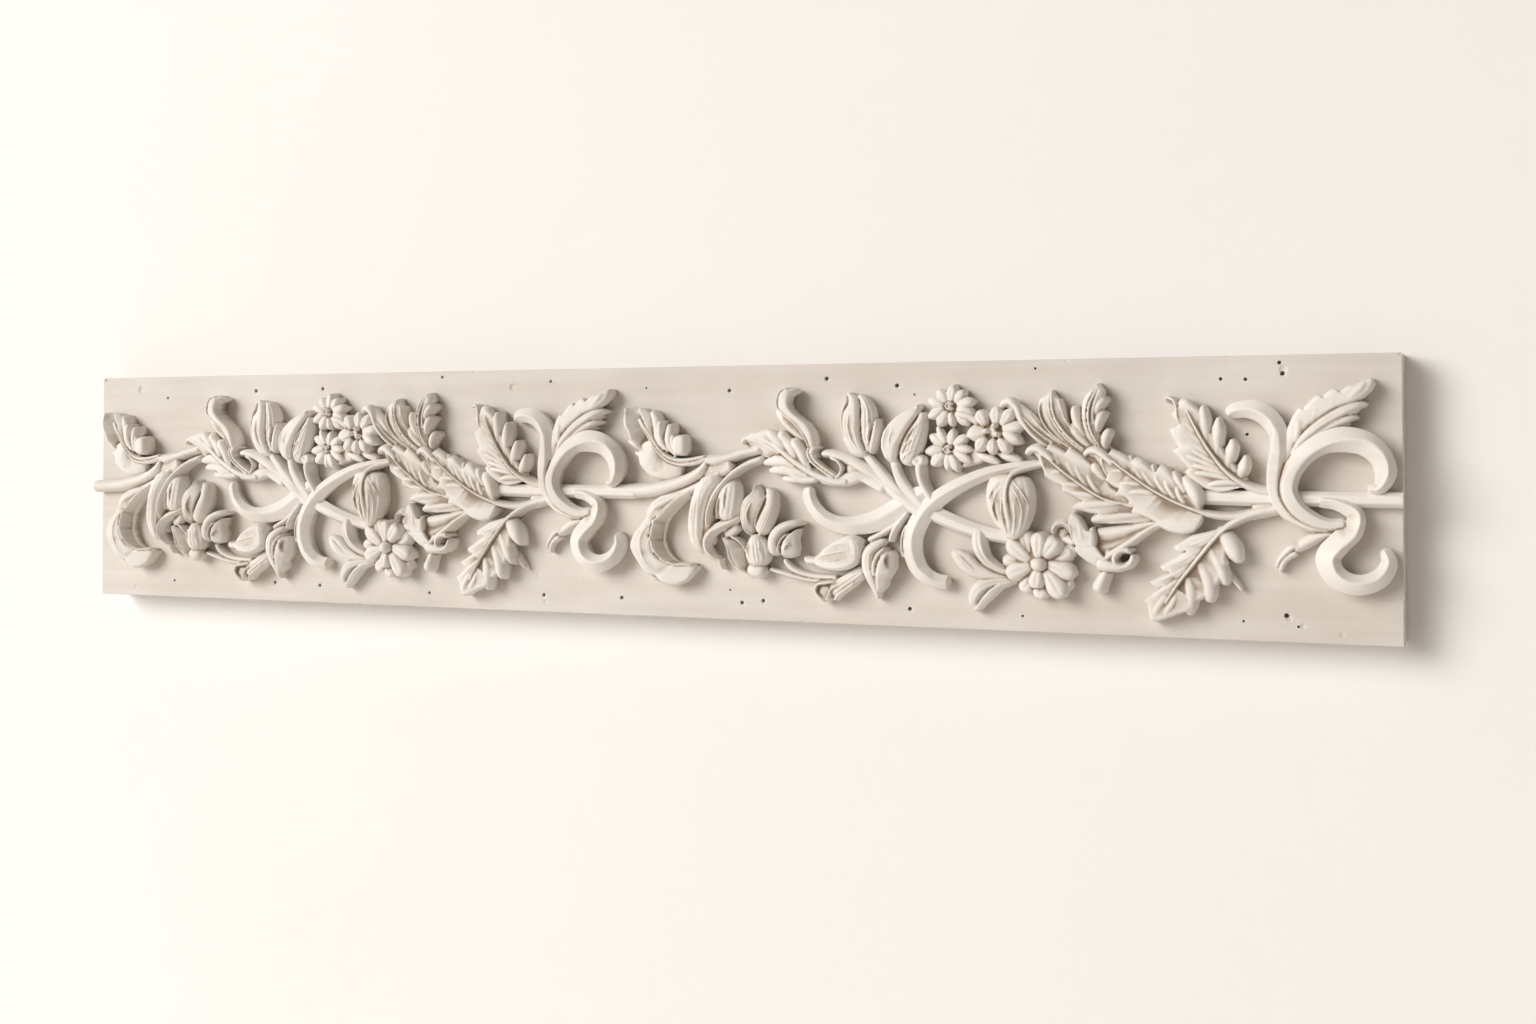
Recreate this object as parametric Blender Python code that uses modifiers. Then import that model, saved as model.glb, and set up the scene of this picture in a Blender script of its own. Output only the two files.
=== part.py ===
"""A plaster frieze moulding: a flat backing slab with two repeats of a carved leafy scroll, cast as one piece.

Every ornament is swept along a short line set by hand. A point of such a line is (x, z, width, height) in
millimetres: x along the panel from its left end, z up from its lower edge, and the height of the crest above
the slab's face. The forms of one repeat are fused into one skin and joined to the slab.
"""
import math

import bmesh
import bpy
import numpy as np
from mathutils import Matrix, Vector

# Driving dimensions, in millimetres
PANEL_LENGTH = 1136.0
PANEL_HEIGHT = 200.0
SLAB_THICK = 30.0
EMBED = 1.6                 # how far the ornament is rooted in the slab
REPEAT_LEFT_SCALE = 0.9215  # the left repeat was set out shorter than the right one
REPEAT_LEFT_SHIFT = -493.7

# How the solid is made
SIDES = 16                  # points across the top of a section
STEP = 2.0                  # distance between sections along a line
SKIN = 1.25                 # grain of the fused skin
FIRST_TRIANGLES = 40000     # triangles left in the skin before it meets the slab
TRIANGLES = 9800            # triangles left in the finished part
TRUE_UP = 0.05              # points this close to a face of the slab are put on it
MM = 0.001

NAME = "frieze_moulding"


# ---- sections: height of the top surface for s from -1 (right edge) to +1 (left edge), as a share of the crest

def stem(s):
    return 0.25 + 0.75 * np.sqrt(1.0 - s * s)


def ribbon(s):
    return 1.0 - 0.42 * np.abs(s) ** 1.25


def lobe(s):
    return 0.40 + 0.60 * np.sqrt(1.0 - np.abs(s) ** 2.2)


def pad(s):
    return 0.50 + 0.50 * np.sqrt(1.0 - s ** 4)


def plume(s):
    """Round across, with a raised vein and a groove on each side of it."""
    return 0.50 + 0.42 * np.sqrt(1.0 - np.abs(s) ** 3) + 0.14 * np.exp(-(s / 0.16) ** 2)


def fold(s):
    """A leaf folded along its middle, steep on the left side."""
    return np.interp(s, (-1.0, 0.1, 1.0), (0.62, 1.0, 0.30))


def rim_left(s):
    """A hollow that rises to a rim along its left edge."""
    return np.interp(s, (-1.0, -0.2, 0.8, 1.0), (0.45, 0.50, 1.0, 0.85))


# ---- lines

def smooth_line(points, step):
    """Even places on the smooth line through the given points."""
    knots = np.array(points, float)
    run = np.concatenate(([0.0], np.cumsum(np.hypot(*np.diff(knots[:, :2], axis=0).T))))
    slope = np.gradient(knots, run, axis=0)
    places = np.linspace(0.0, run[-1], max(4, math.ceil(run[-1] / step) + 1))
    i = np.clip(np.searchsorted(run, places, side="right") - 1, 0, len(run) - 2)
    span = (run[i + 1] - run[i])[:, None]
    k = (places - run[i])[:, None] / span
    line = ((1 + 2 * k) * (1 - k) ** 2 * knots[i] + k * (1 - k) ** 2 * span * slope[i]
            + k * k * (3 - 2 * k) * knots[i + 1] + k * k * (k - 1) * span * slope[i + 1])
    return places, line


def sweep(bm, section, points, place):
    """One closed form along a line, rounded at both ends, added to the mesh."""
    places, line = smooth_line(points, STEP)
    length = places[-1]
    width = np.maximum(line[:, 2], 1.0)
    height = np.maximum(line[:, 3], 1.5)
    ends = np.ones(len(line))
    for distance, end_width in ((places, width[0]), (length - places, width[-1])):
        radius = min(end_width / 2, length / 2)
        ends *= np.sqrt(1 - (1 - np.minimum(distance / radius, 1)) ** 2)
    ends = np.maximum(ends, 0.08)
    heading = np.gradient(line[:, :2], axis=0)
    heading /= np.linalg.norm(heading, axis=1)[:, None]
    s = -np.cos(np.linspace(0.0, math.pi, SIDES))
    profile = section(s)
    rings = []
    for i in range(len(line)):
        across = 0.5 * width[i] * ends[i] * s
        x = line[i, 0] - heading[i, 1] * across
        z = line[i, 1] + heading[i, 0] * across
        crest = height[i] * ends[i] ** 0.55 * profile
        ring = [bm.verts.new(place(*p)) for p in zip(x, z, crest)]
        ring += [bm.verts.new(place(x[-1], z[-1], -EMBED)), bm.verts.new(place(x[0], z[0], -EMBED))]
        rings.append(ring)
    count = len(rings[0])
    for a, b in zip(rings, rings[1:]):
        for j in range(count):
            k = (j + 1) % count
            bm.faces.new((a[j], a[k], b[k], b[j]))
    bm.faces.new(rings[0][::-1])
    bm.faces.new(rings[-1])


# ---- composite ornaments, each a list of (section, points)

def bead(x, z, wide, tall, height):
    return [(stem, [(x, z - tall / 2, wide, height), (x, z, wide, height), (x, z + tall / 2, wide, height)])]


def leaf(rib, lobes, rib_section=stem):
    """A leaf: a thin rib and lobes that run on along it before they sweep out to their tips.

    A lobe is (share of the rib's length at its root, tip x, tip z, width, height at its belly, width of its tip).
    """
    forms = [(rib_section, rib)]
    places, line = smooth_line(rib, 1.0)
    for share, tip_x, tip_z, wide, high, end in lobes:
        i = min(int(share * (len(line) - 1)), len(line) - 2)
        root = line[i, :2]
        forward = (line[i + 1, :2] - root) / np.linalg.norm(line[i + 1, :2] - root)
        tip = np.array((tip_x, tip_z))
        bend = root + 0.5 * np.linalg.norm(tip - root) * forward
        points = []
        for t, w, h in ((0.0, 0.5 * wide, 0.8), (0.3, 0.85 * wide, 0.95), (0.6, wide, 1.0), (0.85, 0.8 * wide, 0.9),
                        (1.0, end, 0.65)):
            at = (1 - t) ** 2 * root + 2 * t * (1 - t) * bend + t * t * tip
            points.append((*at, w, h * high))
        forms.append((lobe, points))
    return forms


def flower(x, z, petals, heart, high):
    """Petals as (angle in degrees, reach, width) around a heart of beads (dx, dz, size)."""
    forms = []
    for angle, reach, wide in petals:
        c, s = math.cos(math.radians(angle)), math.sin(math.radians(angle))
        forms.append((lobe, [(x + 2 * c, z + 2 * s, 0.5 * wide, high - 2),
                             (x + 0.65 * reach * c, z + 0.65 * reach * s, wide, high),
                             (x + reach * c, z + reach * s, 0.7 * wide, 0.75 * high)]))
    for dx, dz, size in heart:
        forms += bead(x + dx, z + dz, size, size, high + 4)
    return forms


def ring_of_petals(count, reach, wide, first=0.0):
    return [(first + 360.0 * i / count, reach, wide) for i in range(count)]


# ---- the motifs of one repeat, from left to right

def vine():
    return [
        (stem, [(524, 100, 12, 11), (560, 103, 12, 12), (585, 107, 12, 12.5), (604, 112, 12, 13),
                (618, 119, 13, 14), (632, 126, 13, 14), (648, 131, 12, 13), (664, 134, 9, 12)]),
        (lobe, [(612, 125, 5, 12), (622, 128, 9, 13), (634, 129, 10, 13), (645, 127, 6, 12)]),
        (stem, [(668, 128, 7, 13), (657, 124.5, 8, 15), (649, 120.5, 8, 17), (643, 114.5, 8, 19),
                (638, 107, 8, 21), (633, 97, 8, 21), (629, 86, 8, 21), (625, 72, 7, 18)]),
        # from the scroll's eye to the crossing
        (ribbon, [(711, 124, 7, 15), (717, 133, 8, 14), (727, 132.5, 8, 14), (740, 127.5, 9, 14),
                  (752, 120, 11, 14), (763, 112, 12, 13), (776, 102, 12, 13), (791, 90, 12, 12)]),
        (ribbon, [(711, 124, 7, 15), (718, 115, 8, 14), (731, 110, 8, 14), (745, 112, 10, 14),
                  (757, 113, 12, 13), (770, 106, 12, 13)]),
        (stem, [(739, 120, 12, 12), (752, 118, 14, 12)]),
        # branch that runs on behind the hanging bud
        (ribbon, [(788, 92, 12, 12), (806, 86, 12, 12), (825, 76, 12, 12), (845, 70, 12, 12),
                  (866, 67, 12, 11), (884, 64, 10, 9)]),
        # main stems that run to the knot
        (ribbon, [(962, 104, 12, 12), (1006, 100, 12, 12), (1040, 98, 12, 13), (1066, 100, 12, 13)]),
        (stem, [(1002, 90, 9, 12), (1016, 87.5, 7, 12), (1032, 88, 8, 13), (1050, 93, 10, 13)]),
        (ribbon, [(1066, 100, 11, 13), (1100, 100, 11, 13), (1140, 100, 11, 12)]),
    ]


def curled_end_leaf():
    """The leaf that starts the repeat, rolled up at its edge round a flat bud."""
    rib = [(622, 127, 6, 14), (610, 122.5, 6, 14), (600, 121.5, 5.5, 14), (590, 123, 5, 14), (582, 128, 5, 14),
           (575, 136, 5, 14), (569, 146, 5, 14), (563, 155, 4.5, 14), (558, 162, 4, 13), (551, 167, 3, 11)]
    forms = leaf(rib, [(0.50, 573.5, 165, 10, 12, 5), (0.66, 564, 166, 8, 11, 5), (0.28, 590, 155, 8, 13, 4)])
    forms += [
        (rim_left, [(578, 128, 8, 8), (573, 135, 17, 9), (566, 143, 19, 10), (559, 151, 16, 11),
                    (554, 159, 10, 11), (550, 166, 4, 10)]),
        (lobe, [(612, 117, 7, 9), (598, 116.5, 13, 11), (585, 118.5, 16, 12), (573, 124, 16, 11),
                (563, 132, 10, 9)]),
        (lobe, [(566, 135, 9, 10), (558, 137.5, 8, 9), (551, 141.5, 3, 6)]),
        (lobe, [(571, 127, 9, 10), (563, 128.5, 8, 9), (556, 131, 3, 6)]),
        (lobe, [(580, 118, 9, 11), (572, 116, 8, 10), (565, 117, 3, 6)]),
    ]
    forms += bead(598, 137.5, 13, 17, 16)
    return forms


def crescent_leaf():
    body = [(609, 95, 6, 13), (596, 91, 11, 15), (583, 82, 20, 16), (574, 71, 26, 17), (572, 58, 28, 17),
            (577, 46, 27, 17), (590, 36, 24, 16), (603, 35, 17, 14), (613, 40.5, 7, 10)]
    forms = [(fold, body)]
    for root_x, root_z, x, z, wide in ((594, 88, 578, 92, 12), (583, 81, 566, 83, 14), (576, 72, 558, 71, 13),
                                       (573, 63, 555.5, 60, 13), (573, 55, 558, 48, 13), (577, 47, 564, 37, 13),
                                       (586, 41, 576, 29, 13), (596, 39, 592, 26, 12), (604, 37, 606, 31, 10)):
        forms.append((lobe, [(root_x, root_z, 0.6 * wide, 13), (0.4 * root_x + 0.6 * x, 0.4 * root_z + 0.6 * z,
                                                              wide, 13.5), (x, z, 0.6 * wide, 9)]))
    return forms


def cocoon():
    """The wound bud: a striped body, a sheath on its left and a stem that wraps it."""
    return [
        (lobe, [(640, 112, 10, 13), (641, 103, 24, 18), (640, 93, 29, 20), (637, 83, 28, 20), (632, 74, 20, 18)]),
        (lobe, [(634, 116, 8, 13), (622, 109, 15, 16), (613, 96, 15, 18), (610, 82, 13, 18), (611, 68, 12, 16),
                (615, 57, 10, 13), (621, 50, 6, 9)]),
        (ribbon, [(651, 89, 9, 17), (641, 82, 12, 20), (630, 74, 13, 21), (622, 65, 13, 20), (620, 55, 12, 17),
                  (625, 47, 10, 13), (633, 42, 6, 9)]),
        (lobe, [(648, 72, 10, 14), (643, 62, 15, 15), (643, 52, 16, 14), (648, 43, 13, 11), (655, 38, 6, 7)]),
    ]


def small_buds():
    return [
        # folded pair
        (lobe, [(662, 104, 8, 11), (658, 95, 14, 15), (655, 85, 15, 17), (656, 75, 11, 16), (659, 66, 6, 12)]),
        (lobe, [(673, 103, 4, 10), (677, 96, 11, 14), (678, 87, 15, 17), (675, 77, 13, 16), (669, 67, 6, 12)]),
        # round bud and the ball below it
        (lobe, [(665, 62, 14, 15), (665, 53, 21, 17), (664, 43, 14, 14)]),
        (lobe, [(656, 40, 12, 11), (664, 39, 13, 11), (671, 41, 8, 9)]),
        # the shell on its right
        (lobe, [(704, 77, 4, 10), (695, 73, 14, 14), (683, 66, 22, 17), (678, 57, 19, 16), (682, 50, 9, 11)]),
        (lobe, [(702, 69, 6, 12), (697, 62, 13, 17), (690, 56, 14, 18), (683, 53, 8, 15)]),
        # low stems
        (stem, [(684, 50, 5, 8), (694, 39, 5, 8), (713, 34, 6, 8), (733, 38, 7, 9), (752, 47, 7, 10)]),
        (stem, [(668, 42, 4, 6), (684, 37, 5, 7), (700, 33, 5, 7), (715, 31, 4, 6)]),
        # trumpet
        (lobe, [(755, 46, 7, 11), (743, 38, 9, 13), (732, 31, 12, 14), (723, 25, 17, 14), (719, 22, 16, 12)]),
        # almond leaf
        (lobe, [(705, 48, 4, 9), (713, 48.5, 8, 12), (722, 50, 17, 16), (732, 53.5, 24, 18), (742, 56.5, 25, 18),
                (750, 60, 16, 15), (757, 64, 6, 10)]),
        # drooping bud of two folds, and its stems
        (lobe, [(765, 66, 8, 12), (759, 57, 15, 17), (757, 47, 15, 18), (758, 38, 12, 15), (761, 28, 8, 11),
                (763, 19, 3, 7)]),
        (lobe, [(776, 60, 8, 14), (773, 53, 18, 19), (770, 45, 20, 20), (767, 37, 11, 15)]),
        (lobe, [(775, 38, 5, 10), (772, 31, 9, 10), (767, 25, 8, 8), (763, 20, 4, 7)]),
        (stem, [(785, 85, 6, 10), (776, 75, 7, 10), (771, 64, 7, 12)]),
        (stem, [(778, 82, 5, 8), (765, 74, 6, 8), (754, 66, 6, 9)]),
    ]


def scroll_leaf():
    rib = [(737, 113, 9, 15), (716, 116, 8, 15), (700, 122, 7, 15), (684, 130, 7, 15), (668, 138, 6, 14),
           (655, 142, 6, 12)]
    forms = leaf(rib, [(0.52, 669, 150, 9, 12, 4), (0.40, 684, 149, 11, 13, 4), (0.36, 695, 142, 10, 14, 6),
                       (0.55, 668, 123, 10, 11, 4), (0.42, 674, 116, 11, 11, 4), (0.26, 685, 110, 10, 11, 4)])
    forms += [
        (lobe, [(712, 122, 11, 15), (706, 130, 14, 17), (703, 139, 10, 15)]),
        (lobe, [(700, 122, 16, 12), (684, 129, 17, 12), (668, 136, 12, 11)]),
    ]
    return forms


def hooded_leaf():
    return [
        (ribbon, [(728, 112, 7, 14), (718, 116, 8, 15), (711, 123, 8, 17), (711, 131, 9, 18), (713, 137, 10, 18),
                  (712, 143, 14, 18), (706, 151, 18, 18), (698, 158, 20, 18), (691, 165, 18, 19),
                  (688, 171, 13, 19), (690, 177, 12, 18), (694, 180, 8, 15)]),
        (lobe, [(712, 137, 7, 12), (700, 147, 14, 14), (690, 156, 13, 13), (682, 166, 7, 9)]),
        (lobe, [(692, 179, 8, 17), (697, 177, 6, 15), (699, 173, 3, 11)]),
    ]


def tulips():
    """Two split buds on stalks that meet at the crossing, and the cut stalk beside them."""
    return [
        (lobe, [(737, 178, 3, 10), (741, 171, 9, 15), (742.5, 160, 15, 18), (742.5, 152, 17, 19),
                (745, 141, 17, 19), (749, 131, 13, 17), (757, 126, 8, 13)]),
        (lobe, [(749, 176, 3, 11), (753, 169, 9, 15), (757, 160, 14, 18), (758, 150, 15, 19), (758, 140, 12, 18),
                (759, 131, 7, 14)]),
        (lobe, [(763, 158, 4, 13), (764, 149, 7, 17), (762, 139, 8, 17), (759, 130, 6, 13)]),
        (ribbon, [(758, 128, 7, 12), (766, 116, 8, 12), (777, 104, 9, 12), (790, 92, 9, 12)]),
        (lobe, [(795, 165, 8, 15), (788, 158, 15, 18), (780, 149, 17, 19), (774, 139, 16, 19), (773, 129, 12, 16),
                (780, 122, 6, 12)]),
        (lobe, [(801, 160, 5, 13), (799, 150, 10, 17), (795, 140, 13, 18), (789, 130, 12, 17), (782, 122, 7, 12)]),
        (lobe, [(792, 166, 7, 16), (798, 164, 7, 14), (804, 161, 4, 10)]),
        (ribbon, [(779, 124, 8, 12), (782, 114, 9, 12), (787, 104, 10, 12), (793, 94, 10, 12)]),
        (stem, [(804, 97, 9, 12), (801, 107, 9, 14), (797.5, 117, 9, 16), (797.5, 120, 10, 16)]),
        (stem, [(797, 123, 13, 17), (798, 127, 13, 17)]),
    ]


def ribbons():
    """The two bands that cross: the lower one comes from the left, the upper one turns down and ends square."""
    return [
        (ribbon, [(705, 113, 11, 12), (707, 98, 13, 13), (713, 86, 14, 13), (725, 79, 14, 13), (740, 77, 14, 13),
                  (756, 78, 14, 13), (770, 83, 14, 13), (783, 90, 13, 13), (795, 97, 12, 12)]),
        (ribbon, [(884, 125, 12, 13), (866, 123, 12, 13), (845, 118, 12, 13), (822, 109, 13, 15), (805, 96, 14, 17),
                  (795, 83, 16, 18), (791, 68, 17, 17), (792, 55, 16, 16), (799, 44, 15, 15), (810, 37, 13, 13),
                  (820, 36, 11, 11)]),
    ]


def blossoms():
    forms = flower(820, 165, ring_of_petals(9, 17, 10, 12), [(0, 0, 8)], 14)
    forms += flower(819, 134.5, ring_of_petals(8, 16, 9.5, 5), [(0, 0, 7)], 13)
    forms += flower(855, 147, [(86, 19, 11), (57, 21, 9), (8, 22, 9), (-25, 20, 10), (-58, 19, 9), (-97, 17.5, 9.5),
                               (-137, 19, 10), (184, 22, 12), (135, 18, 12)],
                    [(-4, 0.5, 6), (0.5, 4, 5.5), (2, -2.5, 6)], 16)
    # leaf that lies over the upper flower, and the leaflets under the right one
    forms += [
        (lobe, [(848, 151, 8, 15), (838, 158, 12, 17), (826, 163, 8, 15)]),
        (lobe, [(838, 150, 7, 14), (829, 153, 8, 14), (821, 156, 6, 11)]),
        (lobe, [(862, 121, 7, 11), (850, 125, 9, 11), (842, 130, 5, 8)]),
        (lobe, [(872, 124, 6, 12), (861, 129, 9, 12), (854, 132, 5, 9)]),
        (lobe, [(812, 149, 7, 12), (816, 143, 9, 12), (822, 146, 7, 12), (826, 150, 7, 11)]),
    ]
    return forms


def daisy():
    """The large lower flower: two tiers of fat petals round an oval button."""
    forms = []
    for x, z, wide, high in ((876, 72, 12, 13), (865, 65, 12, 13), (860, 53, 10, 11), (865, 42, 12, 13),
                             (876, 30, 10, 12), (886, 26, 13, 16), (904, 28, 12, 14), (910, 34, 11, 12),
                             (913, 44, 12, 15), (913, 60, 16, 15)):
        forms.append((lobe, [(888, 51, 6, high), (0.4 * 888 + 0.6 * x, 0.4 * 51 + 0.6 * z, wide, high),
                             (x, z, 0.75 * wide, 0.75 * high)]))
    for x, z, wide in ((889, 72, 11), (901, 69.5, 11)):
        forms.append((lobe, [(889, 57, 9, 18), (0.45 * 889 + 0.55 * x, 64, wide, 20), (x, z, 7, 15)]))
    forms.append((lobe, [(887, 44, 8, 17), (886, 38, 12, 18), (886, 32, 9, 14)]))
    forms += bead(888, 50.5, 14, 13, 20)
    return forms


def hanging_bud():
    """The heart-shaped bud under the arc, folded round a thick central sepal."""
    return [
        (lobe, [(857, 113, 12, 13), (853, 103, 14, 18), (852, 92, 14, 19), (857, 82, 12, 18), (862, 73, 8, 15),
                (866, 67, 4, 10)]),
        (lobe, [(869, 112, 12, 13), (875, 103, 17, 18), (876, 91, 18, 19), (872, 80, 15, 18), (868, 72, 9, 14),
                (867, 67, 4, 10)]),
        (lobe, [(864, 108, 6, 20), (863, 98, 9, 22), (862, 88, 11, 22), (864, 78, 9, 20), (866, 70, 5, 14)]),
        (stem, [(888, 123, 6, 15), (876, 121, 6, 17), (867, 116, 6, 19), (863, 108, 6, 20), (862, 97, 5, 21)]),
    ]


def low_sprigs():
    return [
        (lobe, [(839, 75, 8, 12), (839, 68, 13, 15), (840, 60, 12, 16), (843, 52, 11, 15), (851, 46, 9, 13),
                (864, 42, 8, 10), (878, 40, 6, 8)]),
        (lobe, [(862, 40, 6, 8), (845, 40.5, 7, 8), (832, 43, 9, 8), (824, 49, 8, 8), (820, 56, 4, 6)]),
        (lobe, [(850, 42, 6, 8), (838, 46, 7, 9), (831, 51, 6, 8), (829, 54.5, 3.5, 6)]),
        (lobe, [(874, 38, 5, 8), (858, 36, 8, 10), (845, 32, 13, 14), (838, 24, 14, 14), (836, 17, 8, 10)]),
        (lobe, [(858, 34, 5, 9), (849, 28, 9, 15), (842, 21, 8, 13), (839, 17, 5, 9)]),
    ]


def fronds():
    """Three plumes that rise behind the great leaves, with fingers between them."""
    return [
        (plume, [(908, 132, 7, 12), (896, 140, 12, 13), (885, 150, 14, 14), (877, 160, 12, 15), (869, 167, 7, 14),
                 (861, 167, 4, 11)]),
        (plume, [(922, 132, 8, 12), (909, 142, 15, 15), (900, 153, 19, 16), (896, 164, 20, 16), (896, 171, 13, 14),
                 (896, 177.5, 3, 10)]),
        (plume, [(936, 133, 7, 13), (927, 143, 12, 16), (924, 155, 13, 17), (926, 166, 15, 17), (929, 174, 14, 15),
                 (931.5, 182, 3, 10)]),
        (lobe, [(925, 134, 5, 11), (917, 143, 7, 13), (910, 152, 7, 11)]),
        (lobe, [(921, 141, 4, 11), (916, 154, 6, 13), (913.5, 164, 6, 11)]),
        (lobe, [(925, 149, 4, 12), (929, 161, 7, 14), (937, 170, 6.5, 12)]),
        (lobe, [(927, 141, 4, 12), (930, 151, 7, 14), (936.5, 160, 6.5, 12)]),
        (lobe, [(935, 133, 4, 12), (935, 140, 6.5, 13), (940, 148, 7, 12)]),
    ]


def great_leaves():
    back_rib = [(1004, 86, 6, 12), (975, 90, 5, 14), (950, 95, 4.5, 15), (930, 102, 4.5, 16), (915, 112, 4, 17),
                (901, 123, 4, 17), (891, 131, 5, 16), (885, 134, 6, 15), (878, 131.5, 4, 12)]
    front_rib = [(1032, 87, 7, 13), (1004, 91.5, 5.5, 15), (985, 97.5, 5, 17), (968, 107, 4.5, 18),
                 (955, 116, 4.5, 19), (943, 125.5, 4.5, 18), (934, 132, 6, 17), (927, 133, 6, 16),
                 (921.5, 129.5, 4, 13)]
    forms = leaf(back_rib, [(0.64, 895, 137, 15, 13, 4), (0.52, 911, 136, 18, 14, 5), (0.66, 890, 120, 14, 12, 4),
                            (0.55, 892, 113.5, 13, 12, 3), (0.42, 905, 103, 15, 12, 3), (0.26, 912, 91, 15, 11, 3),
                            (0.14, 926, 83, 11, 10, 5)])
    forms += leaf(front_rib, [(0.62, 941, 134, 15, 16, 3), (0.48, 959, 129, 16, 16, 3), (0.36, 976, 123.5, 15, 16, 4),
                              (0.26, 984, 118.5, 13, 16, 4), (0.68, 930, 122, 12, 15, 3), (0.54, 937, 112, 16, 14, 3),
                              (0.40, 944, 102, 17, 13, 3), (0.26, 953, 95, 15, 12, 3)])
    forms += [
        # the broad ground of the two leaves
        (lobe, [(1000, 95, 22, 13), (976, 98, 30, 13), (950, 106, 30, 12), (925, 113, 22, 12), (900, 122, 14, 12)]),
        # rounded shoulder and base
        (lobe, [(1004, 92, 10, 13), (1000, 100, 17, 16), (996, 108, 14, 16), (992, 114, 6, 12)]),
        (pad, [(1005, 84, 16, 13), (990, 84, 23, 15), (973, 83, 12, 12)]),
        (lobe, [(932, 126, 5, 12), (928, 124, 6, 12), (926, 119, 4, 9)]),
    ]
    return forms


def lily():
    """A curled blossom seen from the side: a hooked base with an eye, a cut stub and four petals."""
    return [
        (ribbon, [(976, 79, 6, 11), (962, 73, 9, 13), (950, 67, 10, 15), (940, 60, 10, 16), (938, 53, 8, 16),
                  (944, 48.5, 8, 16), (951, 49.5, 7, 16), (955, 54, 6, 16), (955, 61, 6, 15), (949, 64, 6, 15)]),
        (lobe, [(976, 83, 4, 9), (960, 79, 12, 12), (945, 74, 15, 13), (934, 68, 12, 12), (929, 64, 6, 10)]),
        (lobe, [(965, 82, 6, 10), (945, 79, 9, 11), (931, 74, 5, 9)]),
        (lobe, [(946, 50, 8, 16), (936, 54, 12, 18), (927, 58.5, 14, 20), (918, 61.5, 11, 18), (914, 62.5, 6, 14)]),
        (lobe, [(927, 60, 15, 19), (922, 69, 19, 20), (916.5, 79, 13, 18), (912, 88, 5, 13)]),
        (lobe, [(926, 62, 9, 18), (928.5, 70, 9, 18), (927.5, 78, 4, 14)]),
        (ribbon, [(921, 74, 12, 18), (914, 80, 11, 19), (906, 82, 8, 19), (900, 79, 7, 18), (898, 73, 5, 15)]),
        (lobe, [(915, 62, 12, 14), (907, 64, 12, 13), (903, 68, 8, 12)]),
        (stem, [(937, 50, 9, 14), (933, 40, 10, 14), (930.5, 34, 12, 14), (930, 32, 13, 12)]),
    ]


def upright_acanthus():
    rib = [(1052, 103, 10, 14), (1038, 107, 8, 14), (1027, 114, 6, 16), (1015, 125, 5, 17), (1006, 137, 4.5, 18),
           (998, 150, 4.5, 18), (991, 161, 5, 18), (988, 167, 6, 16), (983, 169.5, 5, 14), (977.5, 168, 3, 11)]
    forms = leaf(rib, [(0.62, 984, 158, 14, 14, 3), (0.50, 982, 148.5, 18, 14, 4), (0.36, 984, 132.5, 19, 13, 4),
                       (0.22, 992, 118, 17, 12, 4), (0.40, 1004, 165, 11, 15, 5), (0.26, 1014, 156.5, 10.5, 15, 6),
                       (0.15, 1022.5, 141, 9.5, 15, 7), (0.10, 1032.5, 129.5, 8.5, 14, 7)])
    forms += [
        (lobe, [(1002, 146, 7, 14), (999, 157, 10, 14), (994, 167, 7, 12)]),
        (lobe, [(1032, 108, 8, 12), (1020, 111, 14, 12), (1007, 115, 16, 12), (996, 122, 14, 11)]),
    ]
    return forms


def flying_leaf():
    return [
        (lobe, [(1059, 120, 6, 11), (1063, 131, 9, 12), (1069, 143, 15, 13), (1078, 155, 19, 14),
                (1091, 166, 18, 15), (1104, 173.5, 13, 15), (1113, 178, 9, 14), (1117, 181.5, 5, 11)]),
        (lobe, [(1067, 140, 8, 11), (1065, 150, 10, 11), (1069, 160.5, 3, 9)]),
        (lobe, [(1075, 152, 9, 12), (1076, 161, 10, 12), (1082, 169.5, 3, 9)]),
        (lobe, [(1085, 160, 9, 13), (1086, 168, 9, 13), (1092, 174, 3, 10)]),
        (lobe, [(1063, 129, 5, 12), (1073, 143, 8, 13), (1086, 154.5, 11, 15), (1100, 162.5, 12, 15),
                (1108, 165, 8, 14), (1113, 164.5, 3, 11)]),
        (lobe, [(1098, 160, 7, 14), (1105, 161, 6, 13), (1110, 160.5, 3, 10)]),
        (lobe, [(1066, 133, 4, 11), (1078, 145, 5, 12), (1092, 152.5, 7, 13), (1107, 155.5, 4, 11)]),
        (lobe, [(1074, 141, 3, 10), (1088, 148.5, 4, 11), (1101.5, 151, 3, 9)]),
    ]


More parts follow.
